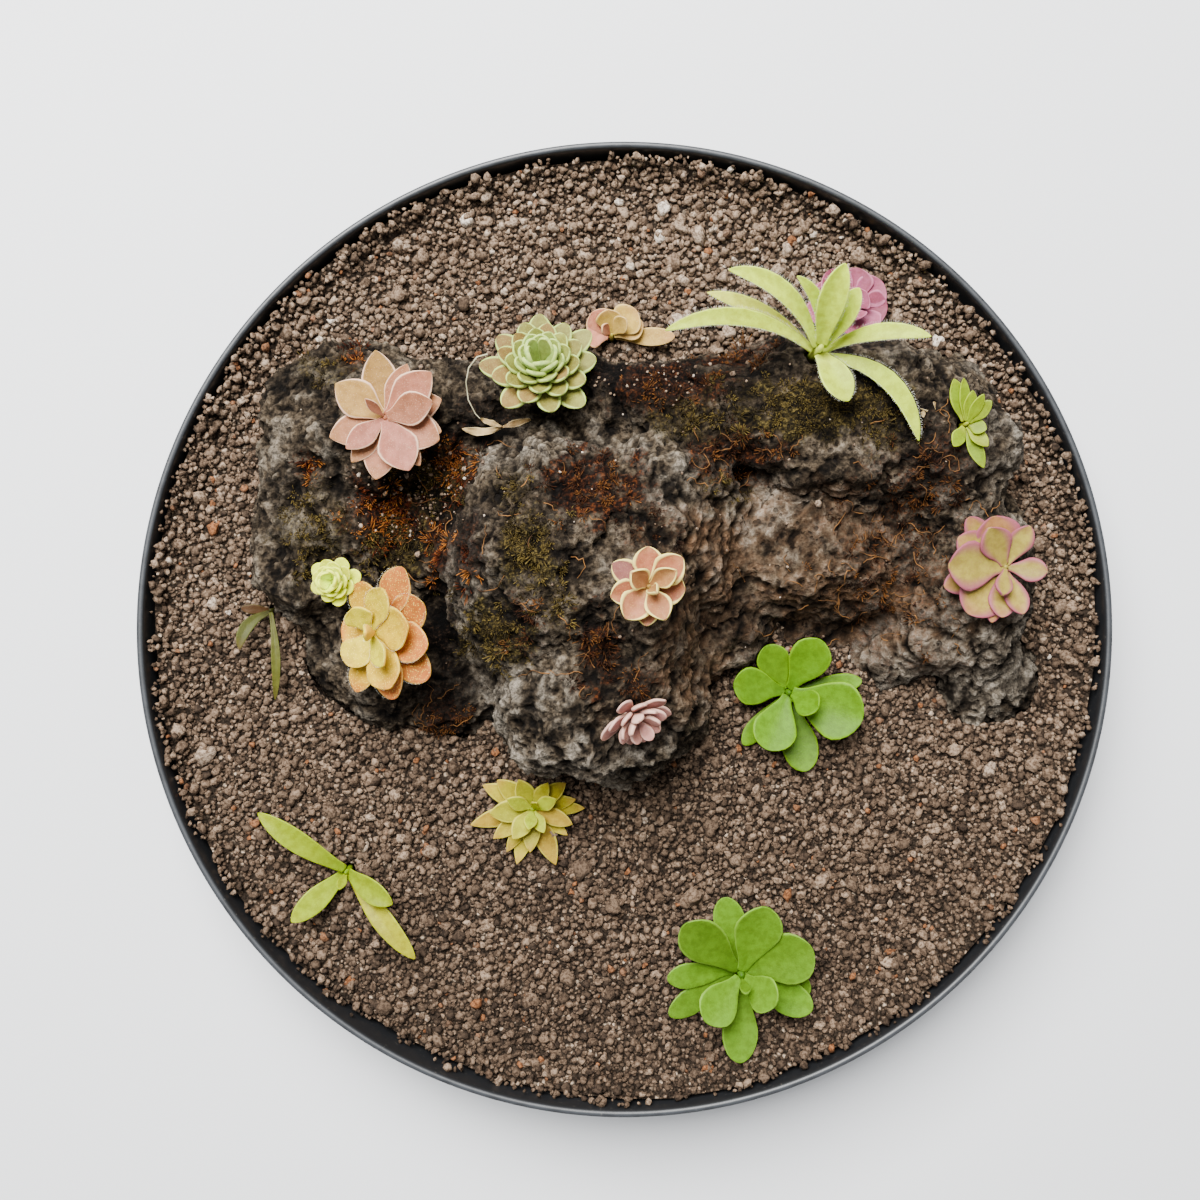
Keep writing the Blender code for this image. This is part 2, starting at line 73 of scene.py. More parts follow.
def linear(code):
    """Turns an sRGB hex colour into the linear values that the shaders take."""
    levels = [int(code[place:place + 2], 16) / 255 for place in (1, 3, 5)]
    return tuple(level / 12.92 if level <= 0.04045 else ((level + 0.055) / 1.055) ** 2.4 for level in levels)


# Sizes and colours that a user would change

def length(name, description, default):
    """A length property in scene units, from a default in millimetres."""
    return FloatProperty(name=name, description=description, default=default * MM, unit="LENGTH", precision=5)


def colour(name, description, code):
    return FloatVectorProperty(name=name, description=description, default=linear(code), subtype="COLOR")


class DishLook(bpy.types.PropertyGroup):
    plastic: colour("Plastic", "Colour of the moulded dish", "#17181a")
    rim: colour("Rim", "Colour of the rubbed rim", "#33363a")
    lip: length("Lip width", "Width of the rolled lip seen from above", 2.3)
    steps: IntProperty(name="Steps", description="Segments round the dish", default=256, min=64)


class GritLook(bpy.types.PropertyGroup):
    small: length("Small grain", "Spacing of the finest grains", 1.7)
    medium: length("Medium grain", "Spacing of the common grains", 2.5)
    large: length("Large grain", "Spacing of the coarsest grains", 5.6)
    clay: colour("Fired clay", "Colour of the odd reddish grains", "#8a5a38")
    # The colour below is painted shade, near black, between the fines of the bed
    gap: colour("Gaps", "Colour between the fines of the bed", "#2b231c")


class RockLook(bpy.types.PropertyGroup):
    voxel: length("Grain", "Size of the finest relief in the rock's mesh", 1.07)
    pit: length("Pit", "Width of the gas pits in the lava", 3.4)
    dust: colour("Dust", "Colour of the pale dust on the lava", "#a69d8f")
    # The pore colour is painted shade, near black, inside the smallest gas pits
    pore: colour("Pores", "Colour inside the smallest gas pits", "#0f0c0a")


class MossLook(bpy.types.PropertyGroup):
    fibre: length("Fibre", "Length of a moss fibre", 2.4)


class LeafLook(bpy.types.PropertyGroup):
    sides: IntProperty(name="Sides", description="Points round a leaf's section", default=24, min=12)
    rows: IntProperty(name="Rows", description="Sections along a leaf", default=14, min=8)
    flesh: FloatProperty(name="Flesh", description="Light that the leaves let through", default=0.12,
                         min=0.0, max=1.0)


class StageLook(bpy.types.PropertyGroup):
    floor: colour("Floor", "Colour of the plain floor", "#dfe1e4")
    height: length("Camera height", "Height of the camera above the floor", 442.0)
    view: length("View width", "Width that the camera sees at the rim's height", 374.3)


# Leaves, in millimetres and degrees. Sage, lime and lilac have more of them here than their solids

Leaf = namedtuple("Leaf", "turn reach width lift sway", defaults=(0,))
Form = namedtuple("Form", "base peak blunt round cup bow")
Plant = namedtuple("Plant", "name x y z toward lean stem depth form leaves")
GOLDEN_TURN = 137.5

# Outlines of a leaf: width at its base, place of its greatest width, bluntness and roundness of its end, cup, bow
SPOON = Form(0.24, 0.66, 2.2, 0.58, 0.20, -0.03)
ROSETTE = Form(0.28, 0.62, 2.0, 0.62, 0.22, -0.03)
ROLLED = Form(0.34, 0.56, 2.1, 0.66, 0.46, -0.03)
SCALE = Form(0.32, 0.62, 2.2, 0.60, 0.08, -0.03)
POINTED = Form(0.30, 0.54, 1.8, 0.84, 0.16, -0.02)
SPIKE = Form(0.34, 0.48, 1.8, 0.85, 0.12, -0.02)
STRAP = Form(0.45, 0.52, 2.3, 0.72, 0.34, 0.16)
NARROW = Form(0.40, 0.50, 1.9, 0.75, 0.14, 0.02)


def whorl(count, outer, inner, first_turn=0.0):
    """Leaves set at the golden angle, from the outermost to the innermost."""
    leaves = []
    for index in range(count):
        inward = index / (count - 1)
        reach, width, lift = (start + (end - start) * inward ** 0.85 for start, end in zip(outer, inner))
        leaves.append(Leaf(first_turn + index * GOLDEN_TURN, reach, width, lift))
    return leaves


def listed(*rows):
    return [Leaf(*row) for row in rows]


PLANTS = (
    Plant("blush", -71, 63, 61, 0, 0, 1.9, 7, POINTED, listed(
        (346, 17, 9, 2), (199, 17.5, 10, 2.5), (261, 18.5, 10.5, 2.5), (18, 17.5, 9.5, 3), (233, 16.5, 7, 3),
        (306, 17.5, 7, 2.5), (98, 20, 11, 3.5), (146, 17.5, 12, 4), (337, 17.5, 12.5, 4), (67, 17, 8, 4),
        (43, 19, 12, 5.5), (221, 14.5, 7.5, 6), (295, 17.5, 12.5, 5), (16, 15, 10.5, 7), (137, 6.5, 3, 9),
    )),
    Plant("sage", -25, 77, 62, 90, 17, 2.6, 8, SCALE, whorl(44, (19, 7.8, 2), (3, 6, 14), 40)),
    Plant("honey", -4, 93, 34, 0, 0, 1.5, 6, ROSETTE, listed(
        (358, 20, 6, 4), (177, 8, 9, 4), (133, 9, 9.5, 5), (101, 7, 8.5, 7), (43, 10.5, 11, 6),
        (19, 10.5, 8.5, 4), (41, 5.5, 6, 9), (154, 3, 4, 9),
    )),
    Plant("longleaf", 56, 82, 64, 0, 0, 2.2, 9, STRAP, listed(
        (319, 40, 5.6, 1, 7), (154, 36.5, 4.8, 8, -2), (3, 30, 5.0, 16, 3), (176, 45.5, 5.2, 16, -6),
        (297, 17.5, 9.0, 9), (145, 34, 5.8, 20, -5), (58, 17.5, 7.5, 18), (119, 19, 4, 24, -3),
        (79, 20, 8, 26, 1),
    )),
    Plant("magenta", 72, 102, 34, 0, 0, 1.8, 8, ROSETTE, listed(
        (159, 14, 10, 3), (187, 15, 9, 3), (223, 12.5, 9, 4), (261, 10, 11, 5), (308, 11, 11, 4),
        (355, 11, 11.5, 4), (38, 12, 11.5, 4), (85, 12, 12, 4), (126, 13.5, 11, 4), (156, 6.5, 8, 7),
        (41, 5, 8.5, 7), (274, 5, 8, 8),
    )),
    Plant("tuft", 100, 61, 64, 0, 0, 1.4, 6, NARROW, listed(
        (292, 14, 4.5, 1), (239, 8, 4.5, 3), (109, 13.5, 5.5, 4), (311, 9, 4.5, 3), (98, 13, 3.5, 5),
        (339, 5.5, 4.5, 4), (86, 9, 4, 6), (45, 8.5, 4.5, 6), (66, 8.5, 3.5, 7),
    )),
    Plant("rosy", 113, 19, 58, 0, 0, 1.9, 7, ROSETTE, listed(
        (198, 19, 8.5, 2), (127, 18.5, 8, 2.5), (256, 17, 6, 2.5), (230, 18, 14, 3.5), (264, 15, 8.5, 4.5),
        (106, 15.5, 14, 5), (287, 14.5, 7.5, 6), (150, 17, 11, 5), (353, 11, 7.5, 7), (65, 13, 7.5, 8),
        (179, 18, 15, 7), (121, 13, 10, 9), (252, 8.5, 5.5, 9),
    )),
    Plant("lime", -88, 15, 51.7, 180, 10, 1.7, 6, SCALE, whorl(28, (8.6, 5.2, 1.5), (2, 3.8, 8), 10)),
    Plant("apricot", -75, -0.5, 52, 180, 25, 2.4, 8, ROSETTE, listed(
        (324, 23.5, 11.5, 2), (25, 20, 12.5, 3), (59, 22.5, 12, 4), (291, 21.5, 11, 3), (348, 21, 12.5, 5),
        (253, 19, 9.5, 4), (178, 11, 12, 4), (101, 15.5, 11, 6), (300, 19, 12, 8), (7, 16.5, 13.5, 9),
        (240, 11.5, 10.5, 8), (60, 15, 10, 9), (109, 7.5, 10, 10), (317, 14, 6, 13), (1, 5, 5, 15),
    )),
    Plant("creamedge", 6, 13, 83, 0, 0, 1.7, 6, ROLLED, listed(
        (148, 12, 7.4, 2.5), (266, 11, 7, 3), (355, 10, 9.8, 3.5), (92, 11, 9, 4), (195, 11, 7.8, 5),
        (41, 12, 9.4, 6), (233, 11, 9.4, 6), (295, 10, 7.8, 8), (144, 6, 7, 9), (31, 8, 6.2, 10), (315, 2, 4, 11),
    )),
    Plant("lilac", 2, -23, 72.5, 300, 52, 1.7, 7, SCALE, whorl(20, (12, 5.6, 2.5), (4, 4, 9), 215)),
    Plant("fern_green", 52, -20, 32.5, 0, 0, 2.2, 9, SPOON, listed(
        (230, 22, 6.5, 2), (9, 23.5, 6.5, 4), (282, 25.5, 11.5, 5), (116, 16.5, 10.5, 6), (170, 18, 12, 8),
        (62, 19, 13, 12), (246, 19, 14, 11), (340, 23, 18.5, 13), (330, 8, 9, 17),
    )),
    Plant("straw", -29, -57, 32.5, 0, 0, 2.0, 8, SPIKE, listed(
        (195, 20.5, 6.5, 2), (155, 17.5, 6.5, 2.5), (0, 16.5, 5, 2), (12, 14, 5, 3), (322, 14, 4.5, 2),
        (292, 19.5, 7, 2), (254, 18.5, 6, 2), (239, 16, 5, 3), (39, 13.5, 6, 5), (217, 15.5, 6, 4),
        (140, 14.5, 7, 5), (267, 13.5, 6, 5), (340, 13.5, 6, 5), (60, 10, 5, 7), (114, 10.5, 6.5, 7),
        (184, 13.5, 7.5, 6), (236, 10.5, 6.5, 8), (27, 8.5, 5, 9), (300, 7.5, 4.5, 9), (153, 8.5, 5, 9),
        (262, 5, 4.5, 11), (62, 3.5, 3, 12),
    )),
    Plant("apple", 37, -109, 32.5, 0, 0, 2.6, 9, SPOON, listed(
        (102, 24.5, 10, 3), (211, 26.5, 8.5, 3), (183, 23.5, 8.5, 5), (347, 22.5, 11, 5), (269, 28, 11.5, 5),
        (334, 24.5, 11, 7), (137, 25.5, 14.5, 12), (25, 23.5, 17, 13), (74, 24.5, 15, 15),
        (225, 17, 13, 14), (329, 10.5, 11.5, 18), (278, 1.5, 3.5, 18),
    )),
    Plant("ribbon", -88, -77, 32.5, 0, 0, 1.6, 8, STRAP, listed(
        (222, 22, 7.5, 8), (311, 34.5, 7, 9), (143, 33, 7, 10), (333, 18, 7.5, 12), (257, 4, 3, 10),
    )),
    Plant("olive", -112, 6, 34, 0, 0, 1.3, 7, STRAP, listed(
        (177, 9, 3, 3), (235, 15, 4, 6, -2.5), (274, 28.5, 2.8, 4, 1.5),
    )),
)

# Withered leaves and a seedling on the rock, which are too slight to be parts of their own
SPROUTS = (
    Plant("withered", 95, 61, 60, 0, 0, 0.5, 1, NARROW, listed(
        (150, 10, 2.6, 1.5), (188, 9, 3, 1), (214, 11, 2.4, 1, 1), (118, 8, 2.2, 2), (240, 9, 2.2, 0.5, -1),
    )),
    Plant("withered", -37, 61, 57.5, 0, 0, 0.4, 1, NARROW, listed(
        (182, 12, 2.6, 0.8, 1.2), (14, 9, 2.2, 1.5), (160, 7, 1.8, 0.6),
    )),
    Plant("seedling", 80, 44, 51.5, 0, 0, 0.4, 1, SPOON, listed(
        (20, 2.4, 1.6, 0.6), (95, 2.2, 1.5, 0.7), (165, 2.5, 1.6, 0.6), (240, 2.2, 1.5, 0.8), (310, 2.3, 1.6, 0.6),
        (60, 1.2, 1.0, 1.4), (200, 1.1, 1.0, 1.5),
    )),
)

# What a rosette's leaves look like: colours of the face, of the inner leaves, of the rim, tip, base, back and
# of the odd leaves; where the rim's band starts, how soft and how strong it is, how strong the gland dots are,
# roughness, thickness, height of the raised rim, waviness, length of the hairs and which leaves are odd
Flesh = namedtuple(
    "Flesh", "face heart rim tip base back odd band soft tinge dots rough thick bead wave hair odds",
)


def skin(colours, *rest):
    return Flesh(*colours.split(), *rest)


FLESH = {
    "blush": skin(
        "#a86d53 #a06055 #d4ae92 #a9744b #a36247 #b57f54 #a68442",
        0.90, 0.05, 1.0, 0.30, 0.50, 1.4, 0.24, 0.3, 0.0, (6, 7),
    ),
    "sage": skin(
        "#7a7a35 #91b056 #acc164 #82843c #6e9432 #9ab660 #876d3e",
        0.80, 0.10, 0.85, 0.25, 0.50, 1.6, 0.22, 0.2, 0.0, (1, 4, 6, 9, 12, 14, 16, 19, 23),
    ),
    "honey": skin(
        "#c6aa4d #c9ad54 #d5b87e #cda462 #b1a449 #cda973 #cf8574",
        0.88, 0.08, 0.5, 0.40, 0.50, 1.2, 0.10, 0.3, 0.0, (1, 2, 7),
    ),
    "longleaf": skin(
        "#b0ca27 #b9d42d #cfe363 #bbd438 #c6db4d #bbd43e #c5cb4d",
        0.90, 0.05, 0.5, 0.20, 0.45, 1.3, 0.05, 0.3, 0.75, (1,),
    ),
    "magenta": skin(
        "#9c506e #a35c77 #b36d87 #a45c75 #a46164 #a5627c #944864",
        0.88, 0.06, 0.6, 0.20, 0.45, 1.0, 0.08, 0.5, 0.0, (5, 8),
    ),
    "tuft": skin(
        "#75920c #809c11 #9cb22b #879e14 #909d29 #7d9814 #8c9b11",
        0.86, 0.06, 0.6, 0.20, 0.45, 1.0, 0.08, 0.3, 0.0, (3,),
    ),
    "rosy": skin(
        "#a29240 #a19642 #874657 #9e6b53 #96883e #9e705e #a17348",
        0.68, 0.28, 0.95, 0.40, 0.45, 1.7, 0.12, 0.5, 0.0, (2, 5),
    ),
    "lime": skin(
        "#d8e72a #def427 #eef654 #e2ef35 #c6db1e #e9f43b #d4e22d",
        0.84, 0.06, 0.4, 0.50, 0.50, 1.3, 0.14, 0.3, 0.25, (),
    ),
    "apricot": skin(
        "#d2ad13 #d3cf16 #e7c959 #c5752f #caba17 #dbad32 #b66834",
        0.92, 0.08, 0.3, 1.00, 0.55, 1.5, 0.12, 0.6, 0.40, (0, 1, 2, 3, 4),
    ),
    "creamedge": skin(
        "#a9684c #b88954 #dcc874 #af7752 #9c7c3a #c6ac6a #895a58",
        0.79, 0.07, 0.95, 0.20, 0.50, 1.6, 0.26, 0.4, 0.0, (0,),
    ),
    "lilac": skin(
        "#b07a78 #b7847a #cfa999 #ba8a7e #925553 #c39b8c #b4817c",
        0.76, 0.14, 0.65, 0.30, 0.50, 1.6, 0.12, 0.3, 0.0, (2, 6),
    ),
    "fern_green": skin(
        "#507a05 #588705 #76a011 #5e8a05 #3b6305 #547f05 #568105",
        0.92, 0.06, 0.5, 0.10, 0.50, 1.5, 0.06, 0.5, 0.0, (3,),
    ),
    "straw": skin(
        "#a0971e #9bae19 #bbb247 #b38f34 #859912 #a89d29 #ab8e2a",
        0.84, 0.08, 0.6, 0.30, 0.50, 1.2, 0.10, 0.4, 0.0, (0, 5, 12),
    ),
    "apple": skin(
        "#517b10 #5f8b17 #79a232 #5e8918 #3d660c #58821a #588215",
        0.92, 0.06, 0.5, 0.10, 0.50, 1.6, 0.06, 0.5, 0.0, (0, 4),
    ),
    "ribbon": skin(
        "#849d06 #8ca40a #a4b81f #93a50f #6d8e05 #8ca10c #a6a51b",
        0.92, 0.06, 0.4, 0.10, 0.40, 1.2, 0.04, 0.3, 0.0, (1,),
    ),
    "olive": skin(
        "#464d19 #535a18 #63682d #55481d #343615 #45481b #4b301e",
        0.92, 0.06, 0.4, 0.10, 0.50, 1.0, 0.04, 0.3, 0.0, (0,),
    ),
    "withered": skin(
        "#b39a6c #b39a6c #c9b48a #a5875a #7a6242 #bda77c #8f744c",
        0.80, 0.15, 0.6, 0.30, 0.70, 0.5, 0.15, 2.5, 0.0, (1, 3),
    ),
    "seedling": skin(
        "#a9b95a #d5dcae #dfe4c4 #c5cf90 #7d9440 #c5cf90 #c5cf90",
        0.80, 0.10, 0.8, 0.20, 0.50, 1.0, 0.10, 0.3, 0.0, (),
    ),
}


# Nodes and materials

def rgba(code):
    return (*linear(code), 1.0)


def add_node(tree, kind, settings=None, inputs=None, stops=()):
    """Adds a node with its options, its inputs, from values or other nodes' outputs, and a ramp's colour stops."""
    made = tree.nodes.new("ShaderNode" + kind)
    for name, value in (settings or {}).items():
        setattr(made, name, value)
    for name, value in (inputs or {}).items():
        if isinstance(value, bpy.types.NodeSocket):
            tree.links.new(value, made.inputs[name])
        else:
            made.inputs[name].default_value = value
    if stops:
        for element, (place, code) in zip(made.color_ramp.elements, (stops[0], stops[-1])):
            element.position = place
            element.color = rgba(code)
        for place, code in stops[1:-1]:
            made.color_ramp.elements.new(place).color = rgba(code)
    return made.outputs


def new_material(name, **principled):
    """A Principled material with its plain values set; returns it with its tree and shader."""
    material = bpy.data.materials.new(name)
    material.use_nodes = True
    tree = material.node_tree
    shader = tree.nodes["Principled BSDF"]
    for socket, value in principled.items():
        shader.inputs[socket.replace("_", " ")].default_value = value
    return material, tree, shader


# Settings of the nodes below. A Mix node's colours are its inputs 6 and 7, and its colour output is number 2
MIX = {"data_type": "RGBA", "blend_type": "MIX"}
MULTIPLY = {"data_type": "RGBA", "blend_type": "MULTIPLY"}
PRODUCT = {"operation": "MULTIPLY"}
SMOOTH = {"interpolation_type": "SMOOTHSTEP"}


def moulded_plastic(look):
    """Injection-moulded black styrene: smooth wall, rubbed grey rim, and dust that clings to it."""
    material, tree, shader = new_material("Moulded styrene, black", Roughness=0.42)
    place = add_node(tree, "TexCoord")["Object"]
    height = add_node(tree, "SeparateXYZ", inputs={"Vector": place})["Z"]
    rubbed = add_node(tree, "MapRange", SMOOTH, {
        "Value": height, "From Min": RUBBED[0] * MM, "From Max": RUBBED[1] * MM,
    })["Result"]
    wear = add_node(tree, "TexNoise", None, {
        "Vector": place, "Scale": 1 / (6.0 * MM), "Detail": 4.0, "Roughness": 0.6,
    })["Fac"]
    worn = add_node(tree, "MapRange", SMOOTH, {
        "Value": wear, "From Min": 0.25, "From Max": 0.62, "To Min": 0.35, "To Max": 1.0,
    })["Result"]
    patchy = add_node(tree, "Math", PRODUCT, {0: rubbed, 1: worn})["Value"]
    tint = add_node(tree, "Mix", MIX, {0: patchy, 6: (*look.plastic, 1.0), 7: (*look.rim, 1.0)})[2]
    specks = add_node(tree, "TexNoise", None, {
        "Vector": place, "Scale": 1 / (1.1 * MM), "Detail": 5.0, "Roughness": 0.6,
    })["Fac"]
    settled = add_node(tree, "MapRange", SMOOTH, {"Value": specks, "From Min": 0.62, "From Max": 0.72})["Result"]
    dusty = add_node(tree, "Math", PRODUCT, {0: settled, 1: 0.10})["Value"]
    tint = add_node(tree, "Mix", MIX, {0: dusty, 6: tint, 7: rgba("#a39a8e")})[2]
    grain = add_node(tree, "TexNoise", None, {
        "Vector": place, "Scale": 1 / (0.8 * MM), "Detail": 3.0, "Roughness": 0.6,
    })["Fac"]
    bump = add_node(tree, "Bump", None, {"Height": grain, "Distance": 0.02 * MM, "Strength": 0.4})["Normal"]
    tree.links.new(tint, shader.inputs["Base Color"])
    tree.links.new(bump, shader.inputs["Normal"])
    return material


def grit_grain(look):
    """Crushed pumice and fired clay: matt, porous grains from dark brown to off-white."""
    material, tree, shader = new_material(GRIT_FINISH, Roughness=0.92, Specular_IOR_Level=0.2)
    place = add_node(tree, "TexCoord")["Object"]
    mask = add_node(tree, "Attribute", {"attribute_name": "shade"})["Color"]
    shade, hue, _ = add_node(tree, "SeparateColor", None, {"Color": mask})
    tones = add_node(tree, "ValToRGB", None, {"Fac": shade}, (
        (0.0, "#382c22"), (0.20, "#554537"), (0.45, "#766250"), (0.68, "#907b67"), (0.86, "#a99683"),
        (1.0, "#cdc1b2"),
    ))["Color"]
    reddish = add_node(tree, "MapRange", SMOOTH, {"Value": hue, "From Min": 0.975, "From Max": 0.995})["Result"]
    warm = add_node(tree, "Mix", MIX, {0: reddish, 6: tones, 7: (*look.clay, 1.0)})[2]
    specks = add_node(tree, "TexNoise", None, {
        "Vector": place, "Scale": 1 / (1.0 * MM), "Detail": 5.0, "Roughness": 0.7,
    })["Fac"]
    speckled = add_node(tree, "MapRange", SMOOTH, {"Value": specks, "From Min": 0.38, "From Max": 0.60})["Result"]
    mottled = add_node(tree, "Mix", MIX, {0: speckled, 6: rgba("#6a5a4c"), 7: rgba("#ffffff")})[2]
    tint = add_node(tree, "Mix", MULTIPLY, {0: 0.85, 6: warm, 7: mottled})[2]
    grain = add_node(tree, "TexNoise", None, {
        "Vector": place, "Scale": 1 / (0.5 * MM), "Detail": 4.0, "Roughness": 0.6,
    })["Fac"]
    bump = add_node(tree, "Bump", None, {"Height": grain, "Distance": 0.25 * MM, "Strength": 0.9})["Normal"]
    tree.links.new(tint, shader.inputs["Base Color"])
    tree.links.new(bump, shader.inputs["Normal"])
    return material


def soil_bed(look):
    """Mineral fines: small dull brown crumbs with near black painted shade in the gaps between them, so that no
    smooth ground shows.
    """
    material, tree, shader = new_material("Mineral fines", Roughness=0.95, Specular_IOR_Level=0.1)
    place = add_node(tree, "TexCoord")["Object"]
    cells = add_node(tree, "TexVoronoi", None, {"Vector": place, "Scale": 1 / (1.5 * MM)})
    crumbs = add_node(tree, "MapRange", SMOOTH, {
        "Value": cells["Distance"], "From Min": 0.25, "From Max": 0.72, "To Min": 1.0, "To Max": 0.0,
    })["Result"]
    tone = add_node(tree, "SeparateColor", None, {"Color": cells["Color"]})["Red"]
    tint = add_node(tree, "ValToRGB", None, {"Fac": tone}, (
        (0.0, "#2a2019"), (0.45, "#5d4c3e"), (0.8, "#8b7663"), (1.0, "#b7a48f"),
    ))["Color"]
    # Painted shade: the gaps between the crumbs are near black
    tint = add_node(tree, "Mix", MIX, {0: crumbs, 6: (*look.gap, 1.0), 7: tint})[2]
    specks = add_node(tree, "TexNoise", None, {
        "Vector": place, "Scale": 1 / (0.6 * MM), "Detail": 4.0, "Roughness": 0.6,
    })["Fac"]
    speckled = add_node(tree, "MapRange", SMOOTH, {"Value": specks, "From Min": 0.35, "From Max": 0.65})["Result"]
    speck = add_node(tree, "Mix", MIX, {0: speckled, 6: rgba("#7d756c"), 7: rgba("#ffffff")})[2]
    tint = add_node(tree, "Mix", MULTIPLY, {0: 1.0, 6: tint, 7: speck})[2]
    bump = add_node(tree, "Bump", None, {"Height": crumbs, "Distance": 0.8 * MM, "Strength": 1.0})["Normal"]
    tree.links.new(tint, shader.inputs["Base Color"])
    tree.links.new(bump, shader.inputs["Normal"])
    return material


# The lava's noises: size of the features in millimetres, detail and roughness
LAVA_NOISE = {
    "grain": (1.6, 4.0, 0.6), "broad": (12.0, 5.0, 0.6), "strata": (1.8, 5.0, 0.65), "bare": (9.0, 3.0, 0.6),
    "dust": (1.6, 8.0, 0.85), "earth": (0.9, 5.0, 0.6), "brown": (1.1, 5.0, 0.6), "olive": (1.0, 5.0, 0.6),
    "skin": (7.0, 3.0, 0.6), "rough": (1.6, 5.0, 0.7),
}
# Colour stops on those noises
LAVA_STOPS = {
    "grain": ((0.34, "#241f1a"), (0.45, "#453e35"), (0.55, "#675e52"), (0.68, "#857b6d")),
    "strata": ((0.34, "#5a4433"), (0.46, "#775a43"), (0.56, "#8d6e53"), (0.68, "#a3866a")),
    "earth": ((0.35, "#060403"), (0.54, "#130d09"), (0.66, "#3f2f23")),
    "brown": ((0.38, "#0a0503"), (0.52, "#251209"), (0.68, "#6b3a1b")),
    "olive": ((0.38, "#0e0b06"), (0.52, "#2e2713"), (0.68, "#6c5d33")),
}


def lava_stone(look):
    """Weathered scoria: charcoal lava with gas pits, rust-brown layers, soil and thin moss in its hollows, with
    painted shade that darkens its low places and its smallest pits.
    """
    material, tree, shader = new_material("Weathered scoria", Roughness=0.92, Specular_IOR_Level=0.1)
    place = add_node(tree, "TexCoord")["Object"]
    masks = []
    for name in ("cover", "wear"):
        mask = add_node(tree, "Attribute", {"attribute_name": name})["Color"]
        masks.extend(add_node(tree, "SeparateColor", None, {"Color": mask}))
    # The red channel of 'wear', read here as height, is painted shade, not wear: it darkens the low places of the
    # relief
    rust, green, layered, height, soil, dust = masks
    noises = {}
    for name, (size, detail, roughness) in LAVA_NOISE.items():
        noises[name] = add_node(tree, "TexNoise", None, {
            "Vector": place, "Scale": 1 / (size * MM), "Detail": detail, "Roughness": roughness,
        })["Fac"]
    tones = {}
    for name, stops in LAVA_STOPS.items():
        tones[name] = add_node(tree, "ValToRGB", None, {"Fac": noises[name]}, stops)["Color"]
    lighter = add_node(tree, "MapRange", SMOOTH, {
        "Value": noises["broad"], "From Min": 0.42, "From Max": 0.58,
    })["Result"]
    broad = add_node(tree, "Mix", MIX, {0: lighter, 6: rgba("#a6a099"), 7: rgba("#fff8ee")})[2]
    tint = add_node(tree, "Mix", MULTIPLY, {0: 1.0, 6: tones["grain"], 7: broad})[2]
    bare = add_node(tree, "MapRange", SMOOTH, {
        "Value": noises["bare"], "From Min": 0.38, "From Max": 0.56, "To Min": 0.25, "To Max": 1.0,
    })["Result"]
    strata = add_node(tree, "Math", PRODUCT, {0: layered, 1: bare})["Value"]
    powder = add_node(tree, "MapRange", SMOOTH, {
        "Value": noises["dust"], "From Min": 0.43, "From Max": 0.60, "To Min": 0.25, "To Max": 1.0,
    })["Result"]
    dusty = add_node(tree, "Math", PRODUCT, {0: dust, 1: powder})["Value"]
    dusty = add_node(tree, "Math", PRODUCT, {0: dusty, 1: 0.75})["Value"]
    for share, colour_over in (
        (strata, tones["strata"]), (dusty, (*look.dust, 1.0)), (soil, tones["earth"]), (rust, tones["brown"]),
        (green, tones["olive"]),
    ):
        tint = add_node(tree, "Mix", MIX, {0: share, 6: tint, 7: colour_over})[2]
    # Painted shade: the low places of the relief are darkened to a dark grey, the high places keep their colour
    hollow_shade = add_node(tree, "ValToRGB", None, {"Fac": height}, (
        (0.26, "#4a4541"), (0.44, "#c8c4bf"), (0.56, "#ffffff"),
    ))["Color"]
    tint = add_node(tree, "Mix", MULTIPLY, {0: 1.0, 6: tint, 7: hollow_shade})[2]
    open_skin = add_node(tree, "MapRange", SMOOTH, {
        "Value": noises["skin"], "From Min": 0.42, "From Max": 0.56,
    })["Result"]
    cells = add_node(tree, "TexVoronoi", None, {"Vector": place, "Scale": 1 / (3.0 * MM)})["Distance"]
    hole = add_node(tree, "MapRange", SMOOTH, {
        "Value": cells, "From Min": 0.18, "From Max": 0.34, "To Min": 1.0, "To Max": 0.0,
    })["Result"]
    # Painted shade: where the skin is open, the smallest gas pits are darkened nearly to black with the pore
    # colour
    pore = add_node(tree, "Math", PRODUCT, {0: hole, 1: open_skin})["Value"]
    dark = add_node(tree, "Math", PRODUCT, {0: pore, 1: 0.75})["Value"]
    tint = add_node(tree, "Mix", MIX, {0: dark, 6: tint, 7: (*look.pore, 1.0)})[2]
    pits = add_node(tree, "MapRange", SMOOTH, {
        "Value": pore, "From Min": 0.0, "From Max": 1.0, "To Min": 1.0, "To Max": 0.3,
    })["Result"]
    rough = add_node(tree, "Math", PRODUCT, {0: noises["rough"], 1: pits})["Value"]
    bump = add_node(tree, "Bump", None, {"Height": rough, "Distance": 1.8 * MM, "Strength": 1.0})["Normal"]
    tree.links.new(tint, shader.inputs["Base Color"])
    tree.links.new(bump, shader.inputs["Normal"])
    return material


def mossy(name, low, middle, high):
    """Moss: matt strands, each tuft in its own shade, with painted shade that takes each strand near black at its
    foot, inside the tuft, while its tip stays bright.
    """
    material, tree, shader = new_material(name, Roughness=0.85, Specular_IOR_Level=0.12)
    mask = add_node(tree, "Attribute", {"attribute_name": "shade"})["Color"]
    shade, _, tip = add_node(tree, "SeparateColor", None, {"Color": mask})
    tones = add_node(tree, "ValToRGB", None, {"Fac": shade}, ((0.0, low), (0.5, middle), (1.0, high)))["Color"]
    # Painted shade: darkens each strand from its tip down to near black at its foot
    lit = add_node(tree, "ValToRGB", None, {"Fac": tip}, (
        (0.0, "#33302d"), (0.45, "#a8a29c"), (1.0, "#ffffff"),
    ))["Color"]
    tint = add_node(tree, "Mix", MULTIPLY, {0: 1.0, 6: tones, 7: lit})[2]
    tree.links.new(tint, shader.inputs["Base Color"])
    return material


